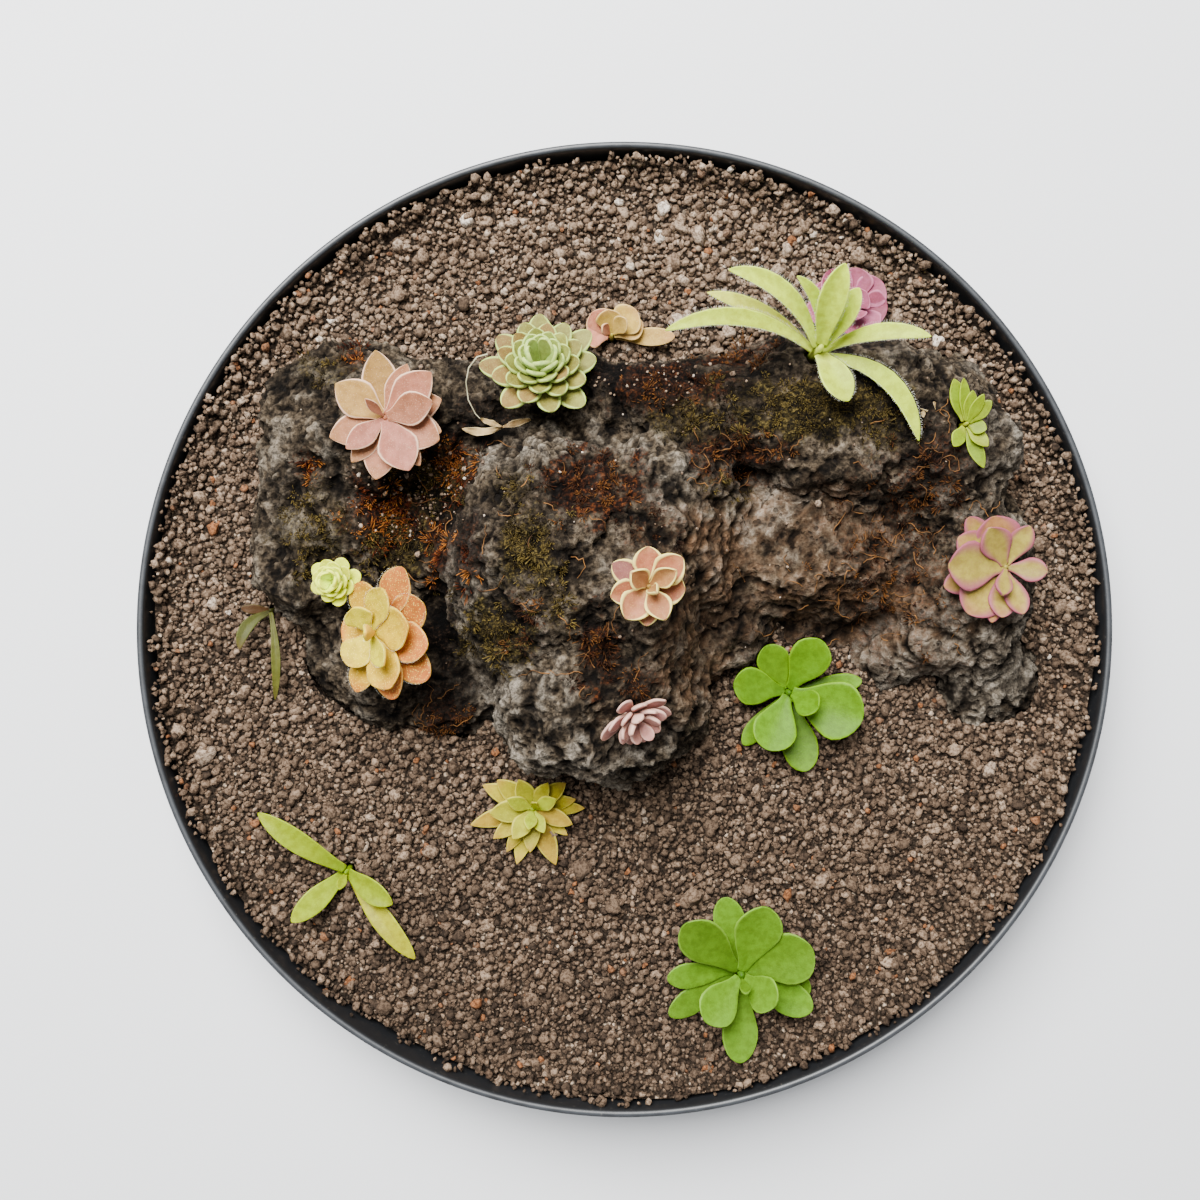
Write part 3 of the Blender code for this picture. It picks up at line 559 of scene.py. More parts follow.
def dry_fibre(name, low, high):
    """Dead roots and stalks: dull, woody threads."""
    material, tree, shader = new_material(name, Roughness=0.8, Specular_IOR_Level=0.2)
    place = add_node(tree, "TexCoord")["Object"]
    streaks = add_node(tree, "TexNoise", None, {
        "Vector": place, "Scale": 1 / (5.0 * MM), "Detail": 3.0, "Roughness": 0.6,
    })["Fac"]
    tint = add_node(tree, "ValToRGB", None, {"Fac": streaks}, ((0.35, low), (0.65, high)))["Color"]
    tree.links.new(tint, shader.inputs["Base Color"])
    return material


def leaf_flesh(name, flesh, look):
    """Waxy living leaf: a soft face with gland dots, a paler raised rim and a light, dull back."""
    material, tree, shader = new_material(name, Roughness=flesh.rough, Specular_IOR_Level=0.14,
                                          Subsurface_Weight=look.flesh, Subsurface_Scale=1.2 * MM)
    shader.inputs["Subsurface Radius"].default_value = (1.0, 0.7, 0.3)
    place = add_node(tree, "TexCoord")["Object"]
    masks = []
    for layer in ("leaf", "tint"):
        mask = add_node(tree, "Attribute", {"attribute_name": layer})["Color"]
        masks.extend(add_node(tree, "SeparateColor", None, {"Color": mask}))
    edge, along, rank, under, odd, tone = masks
    outer = add_node(tree, "ValToRGB", None, {"Fac": along}, (
        (0.0, flesh.base), (0.34, flesh.face), (0.74, flesh.face), (1.0, flesh.tip),
    ))["Color"]
    inner = add_node(tree, "MapRange", SMOOTH, {"Value": rank, "From Min": 0.35, "From Max": 0.95})["Result"]
    tint = add_node(tree, "Mix", MIX, {0: inner, 6: outer, 7: rgba(flesh.heart)})[2]
    tint = add_node(tree, "Mix", MIX, {0: odd, 6: tint, 7: rgba(flesh.odd)})[2]
    blotches = add_node(tree, "TexNoise", None, {
        "Vector": place, "Scale": 1 / (2.2 * MM), "Detail": 4.0, "Roughness": 0.6,
    })["Fac"]
    blotched = add_node(tree, "MapRange", SMOOTH, {
        "Value": blotches, "From Min": 0.32, "From Max": 0.66,
    })["Result"]
    mottle = add_node(tree, "Mix", MIX, {0: blotched, 6: rgba("#c9c0b4"), 7: rgba("#ffffff")})[2]
    tint = add_node(tree, "Mix", MULTIPLY, {0: 0.6, 6: tint, 7: mottle})[2]
    own = add_node(tree, "ValToRGB", None, {"Fac": tone}, ((0.0, "#d8d3ca"), (1.0, "#ffffff")))["Color"]
    tint = add_node(tree, "Mix", MULTIPLY, {0: 1.0, 6: tint, 7: own})[2]
    tint = add_node(tree, "Mix", MIX, {0: under, 6: tint, 7: rgba(flesh.back)})[2]
    glands = add_node(tree, "TexVoronoi", None, {"Vector": place, "Scale": 1 / (GLAND * MM)})["Distance"]
    dot = add_node(tree, "MapRange", SMOOTH, {
        "Value": glands, "From Min": 0.10, "From Max": 0.32, "To Min": 1.0, "To Max": 0.0,
    })["Result"]
    dot = add_node(tree, "Math", PRODUCT, {0: dot, 1: flesh.dots})["Value"]
    tint = add_node(tree, "Mix", MIX, {0: dot, 6: tint, 7: rgba(flesh.rim)})[2]
    band = add_node(tree, "MapRange", SMOOTH, {
        "Value": edge, "From Min": flesh.band - flesh.soft, "From Max": flesh.band + flesh.soft,
    })["Result"]
    band = add_node(tree, "Math", PRODUCT, {0: band, 1: flesh.tinge})["Value"]
    tint = add_node(tree, "Mix", MIX, {0: band, 6: tint, 7: rgba(flesh.rim)})[2]
    bump = add_node(tree, "Bump", None, {"Height": glands, "Distance": 0.06 * MM, "Strength": 0.6})["Normal"]
    tree.links.new(tint, shader.inputs["Base Color"])
    tree.links.new(bump, shader.inputs["Normal"])
    return material


def pale_hair():
    """Leaf hairs: short, clear bristles that catch the light as white."""
    material, _, shader = new_material("Leaf hair", Roughness=0.4)
    shader.inputs["Base Color"].default_value = rgba("#f1f3e2")
    return material


def painted_floor(look):
    """Satin paper sweep: pale, even and without grain."""
    material, _, shader = new_material("Pale paper sweep", Roughness=0.75)
    shader.inputs["Base Color"].default_value = (*look.floor, 1.0)
    return material


# Meshes

def finish_piece(name, mesh, material, replaced=()):
    """Makes a mesh a piece of the object: gives it its finish and body, shades it smooth and hides the solids that
    it replaces.
    """
    piece = bpy.data.objects.new(name, mesh)
    bpy.context.scene.collection.objects.link(piece)
    mesh.materials.clear()
    mesh.materials.append(material)
    mesh.shade_smooth()
    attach(piece, "root")
    if replaced:
        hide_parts(*replaced)


def mesh_from(name, bm):
    mesh = bpy.data.meshes.new(name)
    bm.to_mesh(mesh)
    bm.free()
    return mesh


def paint(mesh, name, values):
    """Writes a colour on each vertex."""
    layer = mesh.color_attributes.new(name, "FLOAT_COLOR", "POINT")
    rows = np.ones((len(mesh.vertices), 4), np.float32)
    rows[:, :3] = values
    layer.data.foreach_set("color", rows.ravel())


def surface(mesh):
    """A mesh's triangles, ready to be hit by rays."""
    bm = bmesh.new()
    bm.from_mesh(mesh)
    bmesh.ops.remove_doubles(bm, verts=bm.verts, dist=WELD)
    tree = BVHTree.FromBMesh(bm)
    bm.free()
    return tree


def drop(ground, x, y):
    """Where a ray straight down meets a surface, at a place in millimetres."""
    return ground.ray_cast(Vector((x * MM, y * MM, SKY)), -UP)


def scatter(name, patterns, copies):
    """Copies small triangle patterns to many places: each copy is (pattern, matrix, shade, hue)."""
    points, corners, shades = [], [], []
    start = 0
    for number, pattern in enumerate(patterns):
        chosen = [copy for copy in copies if copy[0] == number]
        if not chosen:
            continue
        shape = np.array([vertex.co for vertex in pattern.vertices])
        rims = np.array([polygon.vertices for polygon in pattern.polygons])
        frames = np.array([copy[1] for copy in chosen])
        placed = np.einsum("nij,vj->nvi", frames[:, :3, :3], shape) + frames[:, None, :3, 3]
        first = start + np.arange(len(chosen)) * len(shape)
        points.append(placed.reshape(-1, 3))
        corners.append((first[:, None, None] + rims[None]).reshape(-1, 3))
        tone = np.repeat([(copy[2], copy[3], 0.0) for copy in chosen], len(shape), axis=0)
        tone[:, 2] = np.tile(shape[:, 2], len(chosen))
        shades.append(tone)
        start += len(chosen) * len(shape)
    points, corners, shades = (np.concatenate(rows) for rows in (points, corners, shades))
    mesh = bpy.data.meshes.new(name)
    mesh.vertices.add(len(points))
    mesh.vertices.foreach_set("co", points.ravel())
    mesh.loops.add(corners.size)
    mesh.loops.foreach_set("vertex_index", corners.ravel().astype(np.int32))
    mesh.polygons.add(len(corners))
    mesh.polygons.foreach_set("loop_start", np.arange(0, corners.size, 3, dtype=np.int32))
    mesh.update(calc_edges=True)
    mesh.validate()
    paint(mesh, "shade", shades)
    return mesh


def stone_pattern(seed, subdivisions, roughness):
    """One broken grain: a small ball knocked out of round."""
    bm = bmesh.new()
    bmesh.ops.create_icosphere(bm, subdivisions=subdivisions, radius=0.5)
    offset = Vector((seed * 7.3, seed * 3.1, seed * 5.7))
    for vertex in bm.verts:
        push = noise.noise(vertex.co * 2.6 + offset) + 0.3 * noise.noise(vertex.co * 6 + offset)
        vertex.co *= 1.0 + roughness * push
    return mesh_from("grain", bm)


def fibre_pattern(sides, bends, curl):
    """One strand: a slim cone along +Z, bent over towards its tip."""
    bm = bmesh.new()
    bmesh.ops.create_cone(bm, segments=sides, radius1=0.5, radius2=0.12, depth=1.0,
                          matrix=Matrix.Translation((0, 0, 0.5)))
    for step in range(1, bends):
        cut = bm.verts[:] + bm.edges[:] + bm.faces[:]
        bmesh.ops.bisect_plane(bm, geom=cut, plane_co=(0, 0, step / bends), plane_no=(0, 0, 1))
    for vertex in bm.verts:
        vertex.co.x += curl * vertex.co.z ** 2
    bmesh.ops.triangulate(bm, faces=bm.faces[:])
    return mesh_from("fibre", bm)


# Nothing grows or lies on the rock below these heights, in metres, and no root drops further at one step
MOSS_FLOOR = 0.031
CRUMB_FLOOR = 0.032
THREAD_DROP = 0.004
STRANDS = 26  # in a tuft of moss


def tufts(rock, patches, count, fibre, dice):
    """Star-shaped tufts of moss on the rock, each in its own shade."""
    copies = []
    weights = [patch.across * patch.along * patch.strength for patch in patches]
    for _ in range(count):
        patch = dice.choices(patches, weights)[0]
        x = dice.gauss(patch.x, patch.across * 0.5)
        y = dice.gauss(patch.y, patch.along * 0.5)
        hit, normal, _, _ = drop(rock, x, y)
        if hit is None or hit.z < MOSS_FLOOR:
            continue
        shade = dice.random()
        size = dice.lognormvariate(0.0, 0.3)
        for _ in range(STRANDS):
            side = Vector((dice.gauss(0, 1), dice.gauss(0, 1), dice.gauss(0, 1)))
            flat = side - normal * side.dot(normal)
            way = (normal * 0.8 + side * 0.55).normalized()
            foot = hit + (flat * 0.38 * fibre * size - normal * 0.3) * MM
            long = fibre * size * dice.uniform(0.4, 0.9)
            place = Matrix.Translation(foot) @ pointed_along(way, dice) @ sizes(0.42, 0.42, long)
            copies.append((0, place, clamp(shade + dice.gauss(0, 0.12)), 0.0))
    return copies


def thread_path(rock, patch, dice):
    """A wandering line over the rock, lifted a little here and there."""
    x = dice.gauss(patch.x, patch.across * 0.55)
    y = dice.gauss(patch.y, patch.along * 0.55)
    heading = dice.uniform(0, 2 * math.pi)
    arch = dice.uniform(0.2, 1.6)
    steps = dice.randrange(5, 10)
    path = []
    for step in range(steps):
        hit, _, _, _ = drop(rock, x, y)
        if hit is None or hit.z < MOSS_FLOOR or (path and abs(hit.z - path[-1].z) > THREAD_DROP):
            break
        path.append(hit + UP * (0.15 + arch * math.sin(math.pi * step / (steps - 1))) * MM)
        heading += dice.gauss(0, 0.7)
        x += 1.3 * math.cos(heading)
        y += 1.3 * math.sin(heading)
    return path


def thread_mesh(name, paths, width):
    """Thin tapering tubes along paths."""
    curve = bpy.data.curves.new(name, "CURVE")
    curve.dimensions = "3D"
    curve.bevel_depth = width / 2 * MM
    curve.bevel_resolution = 0
    for path in paths:
        line = curve.splines.new("POLY")
        line.points.add(len(path) - 1)
        for index, (point, place) in enumerate(zip(line.points, path)):
            point.co = (*place, 1.0)
            point.radius = 1.0 - 0.6 * index / len(path)
    holder = bpy.data.objects.new(name, curve)
    bpy.context.scene.collection.objects.link(holder)
    graph = bpy.context.evaluated_depsgraph_get()
    mesh = bpy.data.meshes.new_from_object(holder.evaluated_get(graph), depsgraph=graph)
    bpy.data.objects.remove(holder, do_unlink=True)
    return mesh


def random_turn(dice):
    axis = Vector((dice.gauss(0, 1), dice.gauss(0, 1), dice.gauss(0, 1))).normalized()
    return Matrix.Rotation(dice.uniform(0, 2 * math.pi), 4, axis)


def pointed_along(direction, dice):
    """Turns +Z to a direction, with a random spin about it."""
    turn = direction.to_track_quat("Z", "Y").to_matrix().to_4x4()
    return turn @ Matrix.Rotation(dice.uniform(0, TURN), 4, "Z")


def sizes(across, along, tall):
    return Matrix.Diagonal((across * MM, along * MM, tall * MM, 1.0))


# Dish

def turned_dish(look):
    """The dish's wall, floor and rolled lip, spun about its axis."""
    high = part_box("dish")[1]
    rim = high.x / MM
    height = high.z / MM
    lip = look.lip / MM
    profile = (
        (0.0, 2.4), (rim - 5.5, 2.4), (rim - 4.0, 3.0), (rim - 3.1, 4.6), (rim - lip - 0.1, height - 1.6),
        (rim - lip + 0.05, height - 0.9), (rim - lip + 0.45, height - 0.25), (rim - lip + 1.0, height),
        (rim - 0.8, height), (rim - 0.25, height - 0.22), (rim, height - 0.8), (rim, height - 2.5),
        (rim - 0.5, height - 2.9), (rim - 0.8, height - 3.4), (rim - 1.5, 3.0), (rim - 2.2, 1.0), (rim - 4.0, 0.0),
        (0.0, 0.0),
    )
    bm = bmesh.new()
    rail = [bm.verts.new((radius * MM, 0.0, level * MM)) for radius, level in profile]
    edges = [bm.edges.new(pair) for pair in zip(rail, rail[1:])]
    bmesh.ops.spin(bm, geom=rail + edges, cent=(0, 0, 0), axis=(0, 0, 1), angle=2 * math.pi, steps=look.steps,
                   use_merge=True)
    bmesh.ops.remove_doubles(bm, verts=bm.verts, dist=0.005 * MM)
    bmesh.ops.recalc_face_normals(bm, faces=bm.faces[:])
    return mesh_from("turned_dish", bm)


# Rock

# Places of the rock's cover: middle across and along, half widths in millimetres, and strength
Patch = namedtuple("Patch", "x y across along strength")


def laid(*rows):
    return [Patch(*row) for row in rows]


RUST_MOSS = laid(
    (-54, 50, 8, 9, 1.0), (-73, 36, 10, 12, 1.0), (-61, 58, 6, 6, 0.7), (-84, 84, 4, 4, 0.8),
    (-52, -38, 7, 5, 0.8), (-57, 24, 6, 9, 0.6), (-97, 50, 4, 6, 0.5), (-45, 22, 5, 8, 0.5),
)
BROWN_MOSS = laid(
    (33, 52, 12, 8, 1.2), (-10, 43, 12, 10, 1.2), (-8, -7, 6, 12, 1.0), (34, 86, 11, 7, 0.9),
    (83, 24, 20, 30, 0.45), (12, 72, 18, 7, 0.7), (-30, 2, 8, 9, 0.5), (2, -16, 6, 6, 0.6),
    (94, 44, 10, 12, 0.6), (8, 30, 9, 8, 0.4), (-58, -30, 9, 7, 0.6),
)
GREEN_MOSS = laid(
    (57, 67, 24, 9, 1.3), (-27, 24, 9, 11, 1.0), (-39, -1, 12, 10, 1.0), (20, 62, 12, 6, 0.7),
    (78, 62, 10, 8, 0.7), (-96, 30, 12, 14, 0.45), (-92, 80, 8, 6, 0.5), (-34, 42, 7, 6, 0.6),
    (-70, 26, 10, 10, 0.8), (-60, 44, 12, 10, 0.6), (-20, 8, 6, 9, 0.4), (30, 40, 10, 6, 0.4),
)
SOIL = laid(
    (-62, 40, 17, 20, 1.0), (2, 77, 26, 10, 1.0), (34, 76, 12, 8, 0.8), (-50, 24, 9, 16, 0.9),
    (94, 58, 14, 12, 0.5), (-56, 2, 7, 14, 1.0), (-55, -22, 8, 12, 0.9), (-44, 64, 10, 8, 0.9),
    (50, 2, 32, 9, 0.55),
)
STRATA = laid(
    (46, 24, 36, 20, 1.0), (74, 6, 28, 16, 0.9), (24, -4, 18, 20, 0.8), (98, 0, 18, 14, 0.5),
)
# Pale dust. The strong patch on the right foot, at 104, -16, also lightens a slope that faces away from the key
# light: there it is painted light as well as dust
PALE = laid(
    (-44, -12, 14, 22, 1.0), (-35, 52, 10, 8, 0.8), (104, -16, 30, 20, 2.4), (-104, 34, 12, 28, 0.2),
    (-47, 12, 7, 14, 1.6), (30, 42, 20, 9, 1.0), (-22, -44, 22, 10, 1.2), (41, 38, 12, 9, 0.8),
    (108, 44, 12, 16, 0.6), (-27, 3, 5, 7, 1.2), (-20, 52, 22, 8, 0.4),
)
# Where the foot of the rock swells over the grit, with the swelling in millimetres
SWELLS = laid(
    (46, -5, 20, 7, 2.5), (84, -10, 16, 9, 3.5), (58, 42, 30, 7, 3.5),
)
# Where dead roots and crumbs lie, with their number in place of the strength
ROOTS = laid(
    (83, 22, 20, 32, 46), (60, 10, 22, 12, 12), (-24, 26, 20, 26, 18), (-58, 36, 14, 20, 14),
    (-58, -30, 12, 8, 14), (-8, -8, 10, 14, 10), (34, 50, 16, 8, 14), (94, 58, 8, 8, 8),
)
CRUMBS = laid(
    (-64, 42, 16, 14, 260), (12, 76, 20, 7, 70), (20, 30, 90, 50, 120),
)
# Points along the one dry stalk
STALK = (
    (-41, 82, 62), (-44, 81, 63), (-46.5, 78, 62), (-47.5, 74, 60.5), (-47, 69, 59), (-45, 65, 57.5),
    (-42, 62, 57),
)
LAYER_STEP = 3.0  # height of one layer in the rock
SWELL_FROM = 18  # no swelling below this height


def cover(patches, x, y, rough):
    """How strongly patches cover a place, with ragged edges."""
    most = 0.0
    for patch in patches:
        off = math.hypot((x - patch.x) / patch.across, (y - patch.y) / patch.along)
        most = max(most, patch.strength * clamp((1.25 - off + rough) / 0.5))
    return most


def under_leaves(x, y):
    """How near a place lies to the middle of a rosette, from 0 outside it to 1 under it."""
    nearest = 0.0
    for plant in PLANTS:
        spread = 0.8 * sorted(leaf.reach for leaf in plant.leaves)[len(plant.leaves) // 2] + 2
        off = math.hypot(x - plant.x, y - plant.y) / spread
        nearest = max(nearest, clamp((1.2 - off) / 0.3))
    return nearest


def lava_mesh(look):
    """The rock's own form with its skin remade finely enough for pits, cracks and layers."""
    bm = bmesh.new()
    bm.from_mesh(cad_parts["lava_rock"].data)
    bmesh.ops.remove_doubles(bm, verts=bm.verts, dist=WELD)
    coarse = bpy.data.objects.new("coarse_rock", mesh_from("coarse_rock", bm))
    bpy.context.scene.collection.objects.link(coarse)
    remesh = coarse.modifiers.new("Skin", "REMESH")
    remesh.mode = "VOXEL"
    remesh.voxel_size = look.voxel
    bpy.context.view_layer.update()
    graph = bpy.context.evaluated_depsgraph_get()
    mesh = bpy.data.meshes.new_from_object(coarse.evaluated_get(graph), depsgraph=graph)
    bpy.data.objects.remove(coarse, do_unlink=True)
    bm = bmesh.new()
    bm.from_mesh(mesh)
    base = min(vertex.co.z for vertex in bm.verts) + 0.2 * MM
    flat = [face for face in bm.faces if all(vertex.co.z < base for vertex in face.verts)]
    bmesh.ops.dissolve_faces(bm, faces=flat, use_verts=False)
    bm.to_mesh(mesh)
    bm.free()
    return mesh


def weather_rock(mesh, look):
    """Pits, cracks and layers, and the masks that the stone's finish reads, among them painted shade for the
    hollows.
    """
    pit = look.pit / MM
    covers, hollow_shade_soil_dust = [], []
    places = [vertex.co / MM for vertex in mesh.vertices]
    pushes = [vertex.normal.copy() for vertex in mesh.vertices]
    for vertex, place, push in zip(mesh.vertices, places, pushes):
        rough = noise.fractal(place / 6.0, 0.9, 2.1, 3)
        lump = noise.fractal(place / 13.0 + Vector((7, 3, 1)), 0.8, 2.2, 3)
        grain = noise.fractal(place / 2.2, 0.5, 2.2, 3)
        crag = noise.ridged_multi_fractal(place / 5.0, 0.9, 2.1, 3, 1.0, 2.0) - 1.3
        warped = place + Vector((lump, rough, grain)) * 1.6
        bubble = noise.voronoi(warped / pit)[0][0]
        pore = noise.voronoi(warped / (0.55 * pit) + Vector((5, 2, 8)))[0][0]
        hole = max(0.0, 0.42 - bubble) * 2.4 + max(0.0, 0.34 - pore) * 1.5
        crack = max(0.0, 0.05 - abs(noise.noise(place / 15.0 + Vector((3, 9, 4))))) / 0.05
        steep = 1.0 - abs(push.z)
        layered = cover(STRATA, place.x, place.y, rough * 0.5) * min(1.0, 0.35 + steep * 1.4)
        step = math.sin((place.z + 2.4 * lump + 0.10 * place.x) * 2 * math.pi / LAYER_STEP + 1.5 * rough)
        damp = 1.0 - 0.75 * under_leaves(place.x, place.y) * (1.0 if push.z > 0.3 else 0.0)
        bare = 1.0 - 0.45 * layered
        height = (1.4 * lump + 1.0 * rough + 0.9 * grain + 0.95 * crag) * bare
        height -= (1.1 * hole + 1.6 * crack) * bare
        height += layered * (0.4 * step + 0.6 * grain)
        swell = cover(SWELLS, place.x, place.y, 0.0) if place.z > SWELL_FROM else 0.0
        vertex.co += push * ((height * damp + swell) * MM)
        up = max(0.0, push.z)
        soil = cover(SOIL, place.x, place.y, rough * 0.6) * min(1.0, up * 2.0)
        rust = cover(RUST_MOSS + BROWN_MOSS, place.x, place.y, rough * 0.9) * min(1.0, 0.3 + up)
        green = cover(GREEN_MOSS, place.x, place.y, rough * 0.8 - 0.1) * min(1.0, 0.3 + up)
        covers.append((min(1.0, rust * (0.9 + 0.5 * grain)), green, layered))
        dust = 0.4 * rough + 0.1 * up + 0.3 * lump + 0.4 * crag + 0.7 * cover(PALE, place.x, place.y, rough)
        # Stored as 'wear': painted shade from the relief's height (dark in hollows), then soil and pale dust
        hollow_shade_soil_dust.append((clamp(0.5 + 0.16 * height - 0.10 * lump), soil, clamp(dust)))
    mesh.update()
    paint(mesh, "cover", np.array(covers))
    paint(mesh, "wear", np.array(hollow_shade_soil_dust))


# Rosettes

def plant_frame(plant):
    """Places a plant's own frame: +Z along its axis, turned as little as its lean needs."""
    toward = math.radians(plant.toward)
    hinge = Vector((-math.sin(toward), math.cos(toward), 0.0))
    lean = Matrix.Rotation(math.radians(plant.lean), 4, hinge)
    return Matrix.Translation(Vector((plant.x, plant.y, plant.z)) * MM) @ lean


def share_of_width(form, along):
    """The blade's width at a share of its length, as a share of its greatest width."""
    if along < form.peak:
        swell = along / form.peak
        return form.base + (1.0 - form.base) * swell * swell * (3.0 - 2.0 * swell)
    past = (along - form.peak) / (1.0 - form.peak)
    return max(0.0, 1.0 - past ** form.blunt) ** form.round


class Rib:
    """A leaf's curved middle line, with the directions across it and out of its face."""

    def __init__(self, leaf, form, root_reach, root_height):
        turn = math.radians(leaf.turn)
        self.out = Vector((math.cos(turn), math.sin(turn), 0.0))
        self.left = Vector((-math.sin(turn), math.cos(turn), 0.0))
        self.root = self.out * root_reach + UP * root_height
        self.tip = self.out * max(leaf.reach, root_reach + 1.0) + UP * leaf.lift
        self.bend = (self.root + self.tip) / 2 + UP * (form.bow * leaf.reach) + self.left * (2.0 * leaf.sway)

    def at(self, along):
        rib = self.root * (1 - along) ** 2 + self.bend * (2 * along * (1 - along)) + self.tip * along ** 2
        run = ((self.bend - self.root) * (1 - along) + (self.tip - self.bend) * along).normalized()
        across = (self.left - run * self.left.dot(run)).normalized()
        return rib, run, across, run.cross(across)


def fleshy_leaf(bm, leaf, form, flesh, rib, rank, odd, dice, look):
    """A blade shaped from a ball: rounded rim, cupped face, raised edge and a faint groove."""
    layer = bm.verts.layers.float_color["leaf"]
    tints = bm.verts.layers.float_color["tint"]
    made = bmesh.ops.create_uvsphere(bm, u_segments=look.sides, v_segments=look.rows, radius=1.0)["verts"]
    phase = dice.uniform(0, TURN)
    ripple = dice.uniform(1.5, 2.6)
    tone = dice.random()
    twist = dice.uniform(-0.12, 0.12)
    cup = form.cup * (0.3 + 1.3 * rank)
    for vertex in made:
        along = clamp((1.0 - vertex.co.z) / 2)
        ring = math.hypot(vertex.co.x, vertex.co.y)
        side = vertex.co.x / ring if ring > 1e-6 else 0.0
        rise = vertex.co.y / ring if ring > 1e-6 else 0.0
        place, _, across, face = rib.at(along)
        share = share_of_width(form, along)
        half = 0.5 * leaf.width * share
        edge = abs(side)
        thick = flesh.thick * (0.6 + 0.4 * share) * (1.05 - 0.45 * along) * min(1.0, leaf.width / 7 + 0.25)
        thick *= 1.0 + 0.8 * rank
        lift = 0.5 * thick * (math.copysign(abs(rise) ** 0.75, rise) - 1.0) * (1.0 if 0 < along < 1 else 0.0)
        lift += cup * half * edge ** 1.7 + twist * half * side
        if rise > 0:
            lift += flesh.bead * math.exp(-((edge - 0.90) / 0.08) ** 2) * share
            lift -= 0.10 * math.exp(-(side / 0.14) ** 2) * (1 - along)
        lift += flesh.wave * 0.35 * math.sin(along * TURN * ripple + phase) * side * edge
        reach = half * side * (1.0 + 0.03 * flesh.wave * math.sin(along * 17 + phase))
        vertex.co = (place + across * reach + face * lift) * MM
        vertex[layer] = (edge, along, rank, 1.0)
        vertex[tints] = (1.0 if rise < -0.25 else 0.0, odd, tone, 1.0)


def stem_and_crown(bm, plant, height):
    """The short stem that the leaves leave, from inside the ground to the heart."""
    layer = bm.verts.layers.float_color["leaf"]
    tints = bm.verts.layers.float_color["tint"]
    bottom = -plant.depth
    top = height * 0.8
    made = bmesh.ops.create_cone(
        bm, cap_ends=True, cap_tris=False, segments=12, radius1=plant.stem * 0.8 * MM,
        radius2=plant.stem * 0.35 * MM, depth=(top - bottom) * MM,
        matrix=Matrix.Translation((0, 0, 0.5 * (top + bottom) * MM)),
    )["verts"]
    for vertex in made:
        vertex[layer] = (0.0, 0.0, 0.0, 1.0)
        vertex[tints] = (0.0, 0.0, 0.5, 1.0)


def rosette(plant, look):
    """All of one plant's leaves on its crown, placed on the rock or in the grit."""
    flesh = FLESH[plant.name]
    dice = random.Random(plant.name)
    bm = bmesh.new()
    bm.verts.layers.float_color.new("leaf")
    bm.verts.layers.float_color.new("tint")
    crown_height = max(2.0, 0.45 * max(leaf.lift for leaf in plant.leaves))
    count = len(plant.leaves)
    ribs = []
    for index, leaf in enumerate(plant.leaves):
        rank = index / count
        rib = Rib(leaf, plant.form, (0.7 - 0.5 * rank) * plant.stem, 0.2 + crown_height * 0.85 * rank)
        odd = 0.9 if index in flesh.odds else dice.uniform(0.0, 0.25)
        fleshy_leaf(bm, leaf, plant.form, flesh, rib, rank, odd, dice, look)
        ribs.append((leaf, rib))
    stem_and_crown(bm, plant, crown_height)
    bmesh.ops.recalc_face_normals(bm, faces=bm.faces[:])
    mesh = mesh_from("rosette_" + plant.name, bm)
    mesh.transform(plant_frame(plant))
    return mesh, ribs


def rim_hairs(plant, ribs, spacing, dice):
    """Bristles along both edges of each leaf."""
    flesh = FLESH[plant.name]
    to_world = plant_frame(plant)
    copies = []
    for leaf, rib in ribs:
        count = max(4, int(leaf.reach / spacing))
        for index in range(count):
            along = 0.08 + 0.9 * (index + dice.random() * 0.6) / count
            middle, run, across, face = rib.at(along)
            half = 0.5 * leaf.width * share_of_width(plant.form, along)
            for side in (-1, 1):
                foot = middle + across * (side * half * 0.97) + face * (plant.form.cup * half * 0.9 - 0.2)
                way = (across * side + face * dice.uniform(0.1, 0.9) + run * dice.uniform(-0.2, 0.5)).normalized()
                long = flesh.hair * dice.uniform(0.6, 1.2)
                turn = pointed_along(way, dice)
                place = to_world @ Matrix.Translation(foot * MM) @ turn @ sizes(0.07, 0.07, long)
                copies.append((0, place, 1.0, 0.0))
    return copies


# The stage: each light's place, size and power, in metres and watts, and where the camera stands over the dish
LIGHTS = (("key", (-0.30, 0.70, 1.18), 0.9, 88.0), ("fill", (0.9, -0.5, 1.2), 1.2, 1.5))
FLOOR_HALF = 4.0
ROOM_STRENGTH = 0.505
SENSOR = 36.0
CAMERA_PLACE = (-7.64 * MM, 9.2 * MM)

# Grains: property that spaces them, size, fineness of their mesh, share of places that hold one, and tone
GRAINS = (("small", 1.45, 1, 0.90, 0.40), ("medium", 2.45, 1, 0.82, 0.47), ("large", 3.6, 2, 0.16, 0.60))
PATTERNS = 8  # shapes of grain in each size
CRUMB_PATTERNS = 5
LIP = 2.3  # width of the lip that grains stay inside
GRAIN_TOP = 41.0  # height that the heaps along the wall stay below
HEAP_REACH = 5.0  # the heaps start this far inside the edge of the bed


